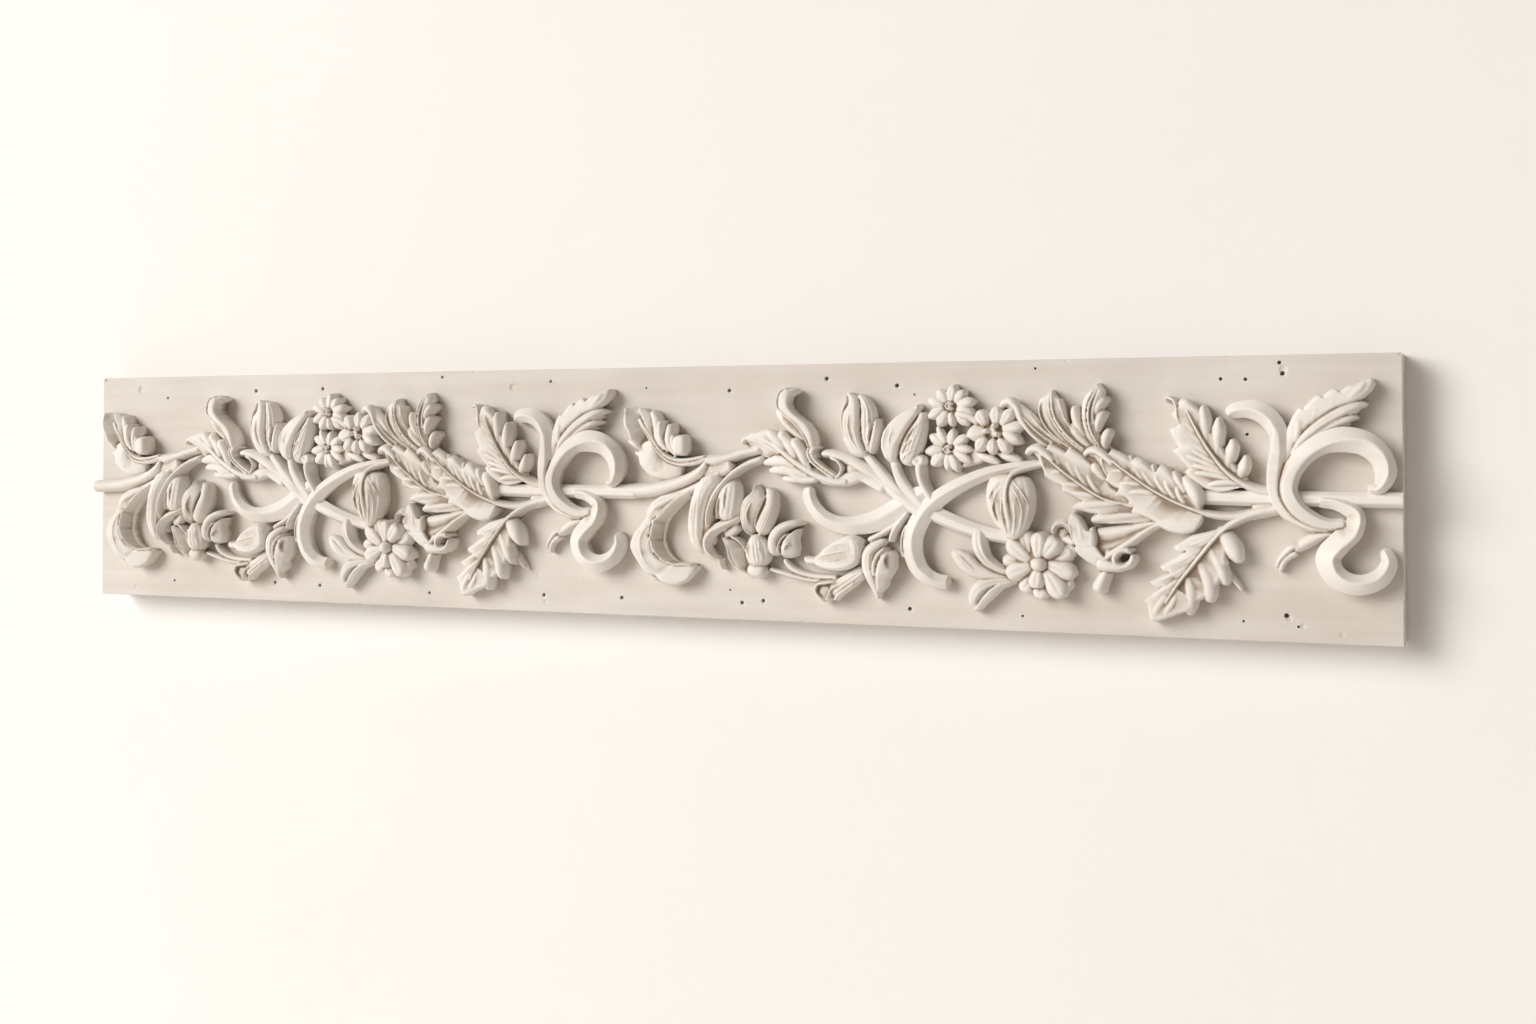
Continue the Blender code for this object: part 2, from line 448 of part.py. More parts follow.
def hanging_acanthus():
    rib = [(1040, 90, 8, 13), (1027, 84, 8, 14), (1015, 75, 6, 16), (1003, 62, 5, 17), (992, 48, 4.5, 17),
           (984, 37, 4, 16), (977, 27, 3, 14)]
    forms = leaf(rib, [(0.26, 984.5, 65, 12, 14, 4), (0.40, 975, 51, 12, 14, 4), (0.55, 967, 39.5, 12, 14, 4),
                       (0.68, 963, 28, 11, 13, 4)])
    forms += [
        # terminal lobe
        (lobe, [(990, 45, 12, 14), (983, 33, 18, 14), (975, 21, 20, 14), (969, 15, 12, 11), (967, 12, 4, 9)]),
        # lobes of the lower side
        (lobe, [(1004, 56, 8, 14), (1000, 42, 11, 14), (996, 28, 11, 13), (992, 17.5, 7, 10)]),
        (lobe, [(1010, 64, 8, 14), (1010, 50, 12, 14), (1008, 38, 12.5, 14), (1006, 28, 8, 11)]),
        (lobe, [(1014, 66, 7, 13), (1017, 55, 9, 14), (1019, 46, 9.5, 13), (1020, 39, 6, 11)]),
        (lobe, [(1017, 77, 8, 13), (1024, 69, 12, 16), (1028, 60, 11, 14), (1030, 55, 6, 11)]),
        (stem, [(1018, 50, 5, 8), (1024, 42, 5, 8), (1030, 36.5, 4, 7)]),
        (lobe, [(1020, 78, 9, 13), (1006, 73, 10, 13), (995, 72, 8, 11)]),
    ]
    return forms


def knot():
    """The ribbon knot: an upper hook, the great loop, and the lower hook that leaves the main stem."""
    return [
        (ribbon, [(1020, 156.5, 6, 13), (1024, 159.5, 10, 15), (1032, 162, 12, 17), (1042, 161, 14, 18),
                  (1050, 155.5, 14, 18), (1055, 146, 13, 18), (1056, 135, 13, 18), (1054, 122, 12, 17),
                  (1053, 110, 11, 16), (1054, 100, 10, 14), (1062, 89, 9, 13), (1075, 81, 8, 12), (1090, 79, 7, 11)]),
        (ribbon, [(1113, 107, 7, 14), (1120, 108, 10, 17), (1124, 116, 14, 19), (1122, 128, 15, 20),
                  (1113, 138, 16, 20), (1099, 141, 17, 20), (1084, 138, 15.5, 20), (1072, 128.5, 14, 20),
                  (1064.5, 117, 13, 20), (1062.5, 106, 12, 20), (1067, 95, 12, 19), (1077, 86, 11, 17),
                  (1090, 82, 9, 15), (1102, 84, 8, 13)]),
        (ribbon, [(1080, 99, 9, 14), (1096, 96, 10, 16), (1106, 89, 12, 18), (1104, 79, 14, 19),
                  (1095, 70, 16, 19), (1088, 60, 17, 19), (1091, 50, 16, 19), (1101, 43, 15, 19),
                  (1113, 43, 14, 19), (1123, 49, 13, 18), (1127, 58, 11, 17), (1124, 67, 7, 14)]),
        (lobe, [(1090, 76, 7, 10), (1079, 72.5, 8.5, 11), (1069, 66, 9.5, 12), (1061, 61, 8, 11), (1055.5, 55, 6, 9),
                (1055, 50.5, 4, 7)]),
    ]


COMMON = (vine, crescent_leaf, cocoon, small_buds, scroll_leaf, hooded_leaf, tulips, ribbons, blossoms, daisy,
          hanging_bud, low_sprigs, fronds, great_leaves, lily, upright_acanthus, flying_leaf, hanging_acanthus,
          knot, curled_end_leaf)


def relief():
    """All forms of both repeats in one loose mesh."""
    bm = bmesh.new()
    for scale, shift in ((1.0, 0.0), (REPEAT_LEFT_SCALE, REPEAT_LEFT_SHIFT)):
        def place(x, z, height):
            """The point in metres, cut off square at the panel's ends."""
            at = min(max(x * scale + shift, 0.0), PANEL_LENGTH)
            return ((at - PANEL_LENGTH / 2) * MM, -(SLAB_THICK + height) * MM, (z - PANEL_HEIGHT / 2) * MM)
        for motif in COMMON:
            for section, points in motif():
                sweep(bm, section, points, place)
    bmesh.ops.recalc_face_normals(bm, faces=bm.faces)
    mesh = bpy.data.meshes.new(NAME)
    bm.to_mesh(mesh)
    bm.free()
    return mesh


def thin_out(part, count):
    """Fewer, larger triangles."""
    triangles = sum(len(face.vertices) - 2 for face in part.data.polygons)
    thin = part.modifiers.new("Thin out", "DECIMATE")
    thin.ratio = count / triangles
    thin.use_collapse_triangulate = True
    bpy.ops.object.modifier_apply(modifier=thin.name)


def fused_skin(collection):
    """The forms grown together into one skin."""
    skin = bpy.data.objects.new(NAME, relief())
    collection.objects.link(skin)
    bpy.context.view_layer.objects.active = skin
    skin.select_set(True)
    remesh = skin.modifiers.new("Fuse", "REMESH")
    remesh.mode = "VOXEL"
    remesh.voxel_size = SKIN * MM
    remesh.adaptivity = 0.0
    bpy.ops.object.modifier_apply(modifier=remesh.name)
    smooth = skin.modifiers.new("Soften", "SMOOTH")
    smooth.factor = 0.5
    smooth.iterations = 1
    bpy.ops.object.modifier_apply(modifier=smooth.name)
    return skin


def join_slab(skin):
    """The slab added to the skin."""
    bpy.ops.mesh.primitive_cube_add(size=1.0)
    slab = bpy.context.object
    slab.name = "slab_form"
    slab.data.transform(Matrix.LocRotScale(Vector((0.0, -SLAB_THICK * MM / 2, 0.0)), None,
                                           Vector((PANEL_LENGTH, SLAB_THICK, PANEL_HEIGHT)) * MM))
    slab.hide_render = True
    slab.display_type = "WIRE"
    bpy.context.view_layer.objects.active = skin
    union = skin.modifiers.new("Slab", "BOOLEAN")
    union.operation = "UNION"
    union.solver = "EXACT"
    union.object = slab
    bpy.ops.object.modifier_apply(modifier=union.name)
    bpy.data.objects.remove(slab, do_unlink=True)


def true_up(part):
    """Points that all but lie on a face of the slab are put on it."""
    faces = ((0, PANEL_LENGTH / 2), (0, -PANEL_LENGTH / 2), (1, 0.0), (1, -SLAB_THICK),
             (2, PANEL_HEIGHT / 2), (2, -PANEL_HEIGHT / 2))
    for vertex in part.data.vertices:
        for axis, level in faces:
            if abs(vertex.co[axis] - level * MM) < TRUE_UP * MM:
                vertex.co[axis] = level * MM


def plaster():
    material = bpy.data.materials.new("painted_plaster")
    material.use_nodes = True
    shader = material.node_tree.nodes["Principled BSDF"]
    shader.inputs["Base Color"].default_value = (0.72, 0.66, 0.58, 1.0)
    shader.inputs["Roughness"].default_value = 0.6
    return material


def clear_scene():
    for item in list(bpy.data.objects):
        bpy.data.objects.remove(item, do_unlink=True)


def main():
    clear_scene()
    collection = bpy.data.collections.new(NAME)
    bpy.context.scene.collection.children.link(collection)
    part = fused_skin(collection)
    thin_out(part, FIRST_TRIANGLES)
    join_slab(part)
    thin_out(part, TRIANGLES)
    true_up(part)
    part.data.materials.clear()
    part.data.materials.append(plaster())


main()
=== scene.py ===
"""A painted plaster frieze moulding: a flat slab that carries two repeats of a leafy scroll in relief.

Every ornament is built of bulbs: a ball is drawn out along a line, or between two edges, and pressed to the
section that its leaf, stem or petal needs. The bulbs of one motif are joined and grown into one skin.
A form is (section, points), with its points in millimetres: x runs along the panel from its left end, z up
from its lower edge, and a height is that of the crest over the slab's face. A point is either
(x, z, width, height) on a line, or (x, z, x, z, height) from one edge to the other.
"""
import math

import bpy
import numpy as np
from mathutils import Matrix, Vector


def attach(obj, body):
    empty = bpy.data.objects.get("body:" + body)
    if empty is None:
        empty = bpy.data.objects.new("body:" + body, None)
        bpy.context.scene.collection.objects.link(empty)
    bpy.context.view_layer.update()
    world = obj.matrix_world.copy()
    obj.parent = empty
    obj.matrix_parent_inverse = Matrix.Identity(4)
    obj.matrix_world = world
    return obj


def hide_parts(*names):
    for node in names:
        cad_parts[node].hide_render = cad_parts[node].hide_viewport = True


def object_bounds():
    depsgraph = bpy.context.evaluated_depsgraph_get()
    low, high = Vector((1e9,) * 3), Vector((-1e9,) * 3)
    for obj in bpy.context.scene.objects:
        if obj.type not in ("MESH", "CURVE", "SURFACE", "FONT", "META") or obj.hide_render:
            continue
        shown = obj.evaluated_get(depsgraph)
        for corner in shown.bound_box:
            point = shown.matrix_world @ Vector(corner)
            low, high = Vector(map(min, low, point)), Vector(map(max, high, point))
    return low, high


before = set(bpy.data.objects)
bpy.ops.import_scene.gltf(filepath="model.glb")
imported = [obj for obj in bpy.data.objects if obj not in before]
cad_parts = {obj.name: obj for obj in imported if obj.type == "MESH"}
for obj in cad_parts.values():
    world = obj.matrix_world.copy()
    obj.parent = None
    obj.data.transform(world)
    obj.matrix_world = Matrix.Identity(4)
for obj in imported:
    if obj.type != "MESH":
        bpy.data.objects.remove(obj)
CAD_LOW, CAD_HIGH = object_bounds()

MM = 0.001              # lengths below are in millimetres
PANEL_LENGTH = (CAD_HIGH.x - CAD_LOW.x) / MM
PANEL_HEIGHT = (CAD_HIGH.z - CAD_LOW.z) / MM
SLAB_THICK = 30.0
ROOT = 1.6              # how far the ornament is rooted in the slab
UNDERCUT = 3.2          # how far the edges of the ornament hang over their foot
LEFT_SCALE = 0.9215     # the left repeat was set out shorter than the right one: the ornament at x in the
LEFT_SHIFT = -493.7     # right repeat stands at LEFT_SCALE * x + LEFT_SHIFT in the left one

SIDES = 44              # points round a bulb
STEP = 1.2              # distance between the rings of a bulb
LEAST_WIDTH = 0.8
LEAST_HEIGHT = 1.0
LEAST_END = 0.4         # radius of the sharpest end of a bulb
LEAST_FOOT = 0.45       # share of a bulb's width that its foot keeps at least
GRAIN = 0.62     # grain of the grown skin
SOFTEN = 0.35           # how much one pass softens the skin
KEEP = 0.27             # share of the skin's triangles that is kept
CREASE = math.radians(70)               # edges sharper than this stay sharp


def deselect():
    bpy.ops.object.select_all(action="DESELECT")


def select_only(*pieces):
    deselect()
    for piece in pieces:
        piece.select_set(True)
    bpy.context.view_layer.objects.active = pieces[0]


def apply_modifier(piece, kind, **settings):
    select_only(piece)
    modifier = piece.modifiers.new(kind.title(), kind)
    for name, value in settings.items():
        setattr(modifier, name, value)
    bpy.ops.object.modifier_apply(modifier=modifier.name)


def edit_all(piece):
    """Edit mode, with the whole mesh selected."""
    select_only(piece)
    bpy.ops.object.mode_set(mode="EDIT")
    bpy.ops.mesh.select_all(action="SELECT")


def on_panel(x, z, level):
    """A place in metres, from x and z from the panel's lower left corner and the level over its back."""
    return (x - PANEL_LENGTH / 2) * MM, -level * MM, (z - PANEL_HEIGHT / 2) * MM


# ---- sections
# A section gives the height of the top as a share of the crest. s runs from -1 at the right or second edge
# to +1 at the left or first one, t from 0 to 1 along the line, and w is the width in millimetres.

def rod(s, t, w):
    return 0.25 + 0.75 * np.sqrt(1.0 - s * s)


def lobe(s, t, w):
    return 0.48 + 0.52 * np.sqrt(1.0 - np.abs(s) ** 2.2)


def petal(s, t, w):
    """Full and round, with a soft crease down the middle."""
    crease = 0.05 * np.exp(-(s / 0.16) ** 2) * np.sin(math.pi * t)
    return 0.45 + 0.55 * np.sqrt(1.0 - np.abs(s) ** 2.4) - crease


def pad(s, t, w):
    return 0.55 + 0.45 * np.sqrt(1.0 - s ** 4)


def double_rib(s, t, w):
    """A rib with a groove along its back."""
    return 0.62 + 0.38 * np.sqrt(1.0 - s ** 4) - 0.16 * np.exp(-(s / 0.28) ** 2)


def ground(s, t, w):
    """The nearly flat ground of a broad leaf, rolled over at its edges only."""
    inwards = np.clip(0.5 * w * (1.0 - np.abs(s)) / 3.6, 0.0, 1.0)
    return 0.62 + 0.38 * np.sqrt(1.0 - (1.0 - inwards) ** 2)


def grooves(count, depth, s, t):
    """Grooves that run lengthwise, deepest in the middle of their run and gone at both ends."""
    return depth * (0.5 + 0.5 * np.cos(math.pi * count * s)) * np.sin(math.pi * t) ** 0.5


def veined(count, depth):
    """A full bud whose veins meet at both ends."""
    return lambda s, t, w: lobe(s, t, w) - grooves(count, depth, s, t)


def fluted(count, depth):
    """The ground of a broad leaf with shallow flutes that run along it."""
    return lambda s, t, w: ground(s, t, w) - grooves(count, depth, s, t)


def soft(s, t, w):
    """A low swell with shallow sides."""
    return 0.72 + 0.28 * np.sqrt(1.0 - np.abs(s) ** 2.6)


def scoop(s, t, w):
    """Falls away from its first edge to its second."""
    return np.interp(s, (-1.0, -0.6, 0.75, 1.0), (0.38, 0.46, 1.0, 0.9))


def tilted(s, t, w):
    """A flat face that leans over towards its second edge."""
    return (0.86 + 0.14 * s) * (0.6 + 0.4 * np.sqrt(1.0 - np.abs(s) ** 5))


def rim_cup(s, t, w):
    """A disc with a raised rim."""
    return lobe(s, t, w) - 0.16 * np.exp(-(s * s + (2.0 * t - 1.0) ** 2) / 0.30)


def ridged(*stations):
    """A band with two ridges. A station is (t, place of the right ridge, place of the left ridge)."""
    at, right, left = (np.array(column, float) for column in zip(*stations))
    edge = 0.66         # height of the band's edges
    inside = 0.999      # a ridge stays this far from the middle at most, so that it never lies on an edge

    def section(s, t, w):
        right_ridge = np.clip(np.interp(t, at, right), -inside, inside)
        left_ridge = np.clip(np.interp(t, at, left), -inside, inside)
        rise = np.minimum((s + 1.0) / (right_ridge + 1.0), (1.0 - s) / (1.0 - left_ridge))
        return edge + (1.0 - edge) * np.clip(rise, 0.0, 1.0)
    return section


fold = ridged((0, 0, 0))                    # one ridge along the middle
flat_band = ridged((0, -0.45, 0.45))        # a flat top between two chamfers


# ---- bulbs

def smooth_line(points, step):
    """The smooth line through the points, at places a step apart: how far along each is, and its values."""
    knots = np.array(points, float)
    run = np.concatenate(([0.0], np.cumsum(np.hypot(*np.diff(knots[:, :2], axis=0).T))))
    slope = np.gradient(knots, run, axis=0)
    places = np.linspace(0.0, run[-1], max(5, math.ceil(run[-1] / step) + 1))
    i = np.clip(np.searchsorted(run, places, side="right") - 1, 0, len(run) - 2)
    span = (run[i + 1] - run[i])[:, None]
    k = (places - run[i])[:, None] / span       # how far each place is from knot i to the next, from 0 to 1
    line = ((1 + 2 * k) * (1 - k) ** 2 * knots[i] + k * (1 - k) ** 2 * span * slope[i]
            + k * k * (3 - 2 * k) * knots[i + 1] + k * k * (k - 1) * span * slope[i + 1])
    return places, line


balls = {}


def ball(rings):
    """A ball to draw out, made once for each number of rings, and the ring and turn of each of its points."""
    if rings not in balls:
        deselect()
        bpy.ops.mesh.primitive_uv_sphere_add(segments=SIDES, ring_count=rings, radius=1.0)
        made = bpy.context.object
        places = np.empty(len(made.data.vertices) * 3)
        made.data.vertices.foreach_get("co", places)
        places = places.reshape(-1, 3)
        from_pole = np.arccos(np.clip(places[:, 2], -1, 1))
        ring = np.rint(from_pole / math.pi * rings).astype(int)
        turn = np.arctan2(places[:, 1], places[:, 0])
        balls[rings] = (made, ring, turn)
    return balls[rings]


def draw_out(section, points):
    """A bulb along a line of (x, z, width, height), with rounded ends."""
    places, line = smooth_line(points, STEP)
    length = places[-1]
    width = np.maximum(line[:, 2], LEAST_WIDTH)
    height = np.maximum(line[:, 3], LEAST_HEIGHT)
    ends = np.ones(len(line))
    for distance, end_width in ((places, width[0]), (length - places, width[-1])):
        radius = max(min(end_width / 2, length / 2), LEAST_END)
        ends *= np.sqrt(1 - (1 - np.minimum(distance / radius, 1)) ** 2)
    heading = np.gradient(line[:, :2], axis=0)
    heading /= np.linalg.norm(heading, axis=1)[:, None]
    sideways = 0.5 * width[:, None] * np.column_stack((-heading[:, 1], heading[:, 0]))
    return press(section, line[:, :2] + sideways, line[:, :2] - sideways, height, ends)


def cut_out(section, stations):
    """A bulb spread between two edges. A station is (x, z on the first edge, x, z on the second, height)."""
    knots = np.array(stations, float)
    gaps = np.diff(knots, axis=0)
    strides = np.maximum(np.hypot(gaps[:, 0], gaps[:, 1]), np.hypot(gaps[:, 2], gaps[:, 3]))
    run = np.concatenate(([0.0], np.cumsum(strides)))
    places = np.linspace(0.0, run[-1], math.ceil(run[-1] / STEP) + 1)
    line = np.column_stack([np.interp(places, run, column) for column in knots.T])
    ends = np.ones(len(line))
    ends[0] = ends[-1] = 0.0
    return press(section, line[:, :2], line[:, 2:4], line[:, 4], ends)


def press(section, left, right, height, ends):
    """A copy of the ball, its upper half pressed to the section and its lower half to a foot in the slab."""
    made, ring, turn = ball(len(left) - 1)
    wide = np.linalg.norm(left - right, axis=1)[ring]
    half = 0.5 * wide * ends[ring]
    s = np.cos(turn)
    crest = height[ring] * ends[ring] ** 0.5 * section(s, ring / (len(left) - 1.0), wide)
    on_top = np.sin(turn) > -0.05       # the points at the sides count as top
    level = np.where(on_top, crest, -ROOT)
    reach = np.where(on_top, half, np.maximum(half - UNDERCUT, LEAST_FOOT * half))
    across = (s * reach / np.maximum(wide, 0.01))[:, None]
    place = (0.5 + across) * left[ring] + (0.5 - across) * right[ring]
    shape = np.column_stack(on_panel(place[:, 0], place[:, 1], SLAB_THICK + level))
    bulb = made.copy()
    bulb.data = made.data.copy()
    bulb.data.vertices.foreach_set("co", shape.ravel())
    bpy.context.collection.objects.link(bulb)
    return bulb


def grow(name, forms):
    """One closed skin over all the bulbs of a motif."""
    bulbs = [(cut_out if len(points[0]) == 5 else draw_out)(section, points) for section, points in forms]
    select_only(*bulbs)
    if len(bulbs) > 1:
        bpy.ops.object.join()
    piece = bpy.context.object
    piece.name = name
    piece.data.name = name
    edit_all(piece)
    bpy.ops.mesh.normals_make_consistent(inside=False)
    bpy.ops.object.mode_set(mode="OBJECT")
    apply_modifier(piece, "REMESH", mode="VOXEL", voxel_size=GRAIN * MM, adaptivity=0.0,
                   use_smooth_shade=True)
    apply_modifier(piece, "SMOOTH", factor=SOFTEN, iterations=1)
    apply_modifier(piece, "DECIMATE", ratio=KEEP)
    return piece


# ---- forms that repeat, each function giving a list of (section, points)

def bead(x, z, wide, tall, height):
    return [(lobe, [(x, z - tall / 2, wide, height), (x, z, wide, height), (x, z + tall / 2, wide, height)])]


def lobes_along(rib, lobes):
    """Lobes that run on along a rib before they sweep out to their tips.

    A lobe is (share of the rib's length at its root, tip x, tip z, width, height, width of its tip).
    """
    forms = []
    line = smooth_line(rib, 1.0)[1]
    for share, tip_x, tip_z, wide, high, end in lobes:
        i = min(int(share * (len(line) - 1)), len(line) - 2)
        root = line[i, :2]
        forward = (line[i + 1, :2] - root) / np.linalg.norm(line[i + 1, :2] - root)
        tip = np.array((tip_x, tip_z))
        bend = root + 0.5 * np.linalg.norm(tip - root) * forward
        points = []
        for t, w, h in ((0.0, 0.5 * wide, 0.80), (0.3, 0.85 * wide, 0.95), (0.6, wide, 1.0),
                        (0.85, 0.55 * wide + 0.45 * end, 0.92), (1.0, end, 0.70)):
            at = (1 - t) ** 2 * root + 2 * t * (1 - t) * bend + t * t * tip
            points.append((*at, w, h * high))
        forms.append((lobe, points))
    return forms


def swells_along(rib, tips, high):
    """Long low swells from beside a rib to the teeth of a leaf, with a shallow crease between each two.

    A swell is (share of the rib at its root, tip x, tip z).
    """
    return lobes_along(rib, [(share, x, z, 6.6, high, 2.6) for share, x, z in tips])


def pointed_petal(x, z, tip_x, tip_z, wide, high):
    """A petal: narrow at its root, full, then drawn to a point."""
    return (petal, [(x + t * (tip_x - x), z + t * (tip_z - z), w * wide, h * high)
                    for t, w, h in ((0.0, 0.5, 0.86), (0.28, 0.88, 0.97), (0.55, 1.1, 1.0),
                                    (0.76, 0.92, 0.97), (0.9, 0.52, 0.88), (1.0, 0.14, 0.74))])


def flower(x, z, petals, high):
    """Petals (root x, root z, tip x, tip z, width) round a heart at (x, z), each begun a fifth further in."""
    forms = [pointed_petal(root_x - 0.2 * (tip_x - root_x), root_z - 0.2 * (tip_z - root_z), tip_x, tip_z,
                           1.08 * wide, high)
             for root_x, root_z, tip_x, tip_z, wide in petals]
    forms.append((pad, [(x, z - 9, 12, 0.62 * high), (x, z, 19, 0.74 * high), (x, z + 9, 12, 0.62 * high)]))
    return forms


def small_ring(x, z, high):
    """The little ring in the heart of a blossom."""
    return [(rod, [(x + 2.4 * math.cos(turn), z + 2.4 * math.sin(turn), 2.6, high)
                   for turn in np.linspace(0, 2 * math.pi, 9)])]


# ---- the motifs of one repeat, from left to right

def vine():
    """The main stem, its fork, the eye of the scroll and the stems that run to the knot."""
    return [
        (rod, [(520, 99.5, 11, 12), (550, 100.5, 12, 12), (575, 102.5, 12, 13), (595, 107, 11, 13),
               (608, 112, 10, 14), (618, 118.5, 9, 15), (623, 125, 7, 15)]),
        (rod, [(618, 126, 7, 15), (628, 125, 11, 15), (640, 127.5, 9, 14), (652, 131, 8, 13),
               (668, 134, 7, 12)]),
        (pad, [(616, 114, 8, 10), (624, 119, 12, 12), (634, 120, 14, 12.5), (644, 123, 9, 13)]),
        (rod, [(586, 96.5, 4, 11), (600, 100, 6, 12), (614, 105.5, 7, 12.5), (626, 111.5, 8, 13),
               (634, 117, 7, 13)]),
        (rod, [(670, 127, 6, 13), (657, 122.5, 6.5, 15), (647, 116.5, 6.5, 17), (639.5, 109.5, 6.5, 19),
               (633, 101, 6.5, 20.8), (628, 91, 6, 21.5), (625.5, 81, 5.5, 21.5), (625, 72, 5, 19)]),
        # round the eye and on to the crossing
        (rod, [(717.5, 130.5, 7, 15), (725, 130.5, 7.5, 15), (733, 128.5, 8, 15), (741, 125, 10, 14),
               (751, 119.5, 11, 14), (764, 111, 11, 13), (777, 101, 11, 13), (791, 90, 11, 12),
               (800, 84, 10, 12)]),
        (pad, [(716, 111.5, 7, 13), (727, 109.8, 8, 14), (739, 111.5, 11, 14), (749, 114, 10, 13),
               (760, 110, 11, 13), (771, 103.5, 11, 13)]),
        (pad, [(737, 119, 10, 12.5), (746, 118.5, 13, 12.5), (758, 113.5, 11, 12)]),
        (rod, [(729.5, 112, 3.4, 16), (734, 115, 3.8, 16.5), (735.5, 120, 3.8, 16.5), (732, 125, 3.8, 16),
               (725, 128, 4, 15.5)]),
        # branch that runs on behind the hanging bud
        (ridged((0, -0.55, 0.2), (1, -0.5, 0.3)),
         [(797, 90.5, 13, 12), (806, 86.5, 12.5, 12), (822, 80, 12, 12.5), (840, 74, 11, 12.5),
          (858, 70, 10, 12), (872, 67.5, 9, 11), (884, 65, 8, 9)]),
        # main stems that run to the knot
        (flat_band, [(962, 104, 12, 12), (985, 101, 12, 12), (1006, 100.5, 11, 12), (1030, 100, 11, 12.5),
                     (1050, 100, 12, 13), (1070, 100, 11, 13)]),
        (rod, [(1002, 90, 6, 13), (1016, 87.5, 6.5, 13), (1032, 88, 8, 13), (1044, 91, 10, 13),
               (1060, 95, 10, 13)]),
        (lobe, [(1036, 93.5, 6, 11), (1044, 94, 9, 12), (1054, 96, 9, 12)]),
        (flat_band, [(1062, 100, 11, 12), (1100, 99.8, 11, 12), (1145, 99.6, 11, 12)]),
    ]


def curled_end_leaf():
    """The leaf that starts the repeat, its left edge rolled up and a coin-shaped bud beside its lobes."""
    return [
        (double_rib, [(623, 127.5, 5.5, 16), (612, 124.8, 6.5, 16.5), (604, 123.8, 6.5, 17),
                      (596, 124.3, 6, 17), (590, 126.3, 5.6, 17), (584, 130.5, 5, 17), (578, 137.3, 4.6, 17),
                      (572.5, 145, 4.2, 16.5), (567, 152.5, 3.8, 16), (562, 159.5, 3.2, 14)]),
        # rolled left edge and the scoop behind it
        (rod, [(549.5, 168, 2, 12), (551.3, 163.5, 2.8, 15), (550.5, 157, 2.8, 15.5), (551.5, 151.5, 2.8, 15),
               (554.8, 147, 2.8, 14.5), (556.5, 142.5, 3, 13.5), (560, 137, 3, 12), (565, 132.5, 3, 11)]),
        (scoop, [(550, 168.3, 551.5, 168, 12), (551, 164, 557, 167, 15), (550.3, 157, 562, 164, 16.5),
                 (551.5, 151.5, 566, 158, 17), (554.5, 146.5, 568, 152, 16.5), (555.5, 141, 568.5, 145, 15),
                 (560.5, 136, 569, 138, 13), (564.5, 132.5, 568, 133.5, 11)]),
        (lobe, [(565, 134.5, 4, 11), (558, 137.3, 5.5, 10.5), (553.5, 139.5, 4.5, 9),
                (549.5, 141.3, 2, 7.5)]),
        # the lobes on its right, each folded over the next
        (tilted, [(560, 168, 567, 166.8, 12), (563, 163, 572, 162.5, 15), (568, 155, 576, 153, 15.5),
                  (573, 147.5, 578, 145, 16), (579, 139.5, 583, 138, 16), (585, 133, 588, 132, 15)]),
        (ground, [(573, 165.8, 575.5, 165.3, 12), (572.5, 163, 580, 162.5, 15.5),
                  (574.3, 157, 582.5, 158.5, 16.5), (576, 150, 584, 151, 17), (576.8, 144, 584.5, 144, 17),
                  (580, 138, 586, 138, 17), (584.5, 133, 588.5, 133, 16)]),
        (lobe, [(590, 131.5, 4, 15), (585.5, 137.5, 5, 16.5), (582.8, 145, 5.5, 17.3),
                (582.6, 152, 5.5, 17.3), (582.5, 157.5, 3.5, 15.5)]),
        (lobe, [(597, 128.5, 4, 14), (592, 134.5, 7, 16), (590, 142, 8.5, 17.5), (591, 149, 8.5, 17.5),
                (591, 153, 6, 16), (590.8, 155.2, 3, 13)]),
        (lobe, [(598, 130, 3, 15), (594.5, 136, 4.2, 17.5), (594, 142, 4.2, 18), (595, 146, 3, 16)]),
        (pad, [(600, 128, 8, 17), (600.3, 132, 12, 18.6), (600.3, 137, 13.2, 19.2), (600.3, 142, 12, 19),
               (600, 146.2, 8, 18)]),
        # the rounded belly under the rib, with two teeth
        (ground, [(562, 137, 560, 131.5, 9), (566, 140, 560.5, 127, 10.5), (571.5, 142, 562, 121.5, 11.5),
                  (576, 139, 566, 117, 12), (581, 134, 572, 112, 12), (586.5, 127, 580, 110, 11.8),
                  (592, 124, 587, 109.5, 11), (596, 122.5, 592.5, 110.5, 10), (600, 121.5, 598.5, 112.5, 8)]),
        (lobe, [(570, 126.5, 5, 12), (563, 129, 5, 10.5), (559, 130.6, 4, 9), (555.5, 131.5, 2, 7.5)]),
        (lobe, [(580, 116, 5, 12.5), (573, 116.5, 6, 11.5), (569, 116.4, 4.6, 10), (566.3, 116.3, 2.4, 8)]),
    ]


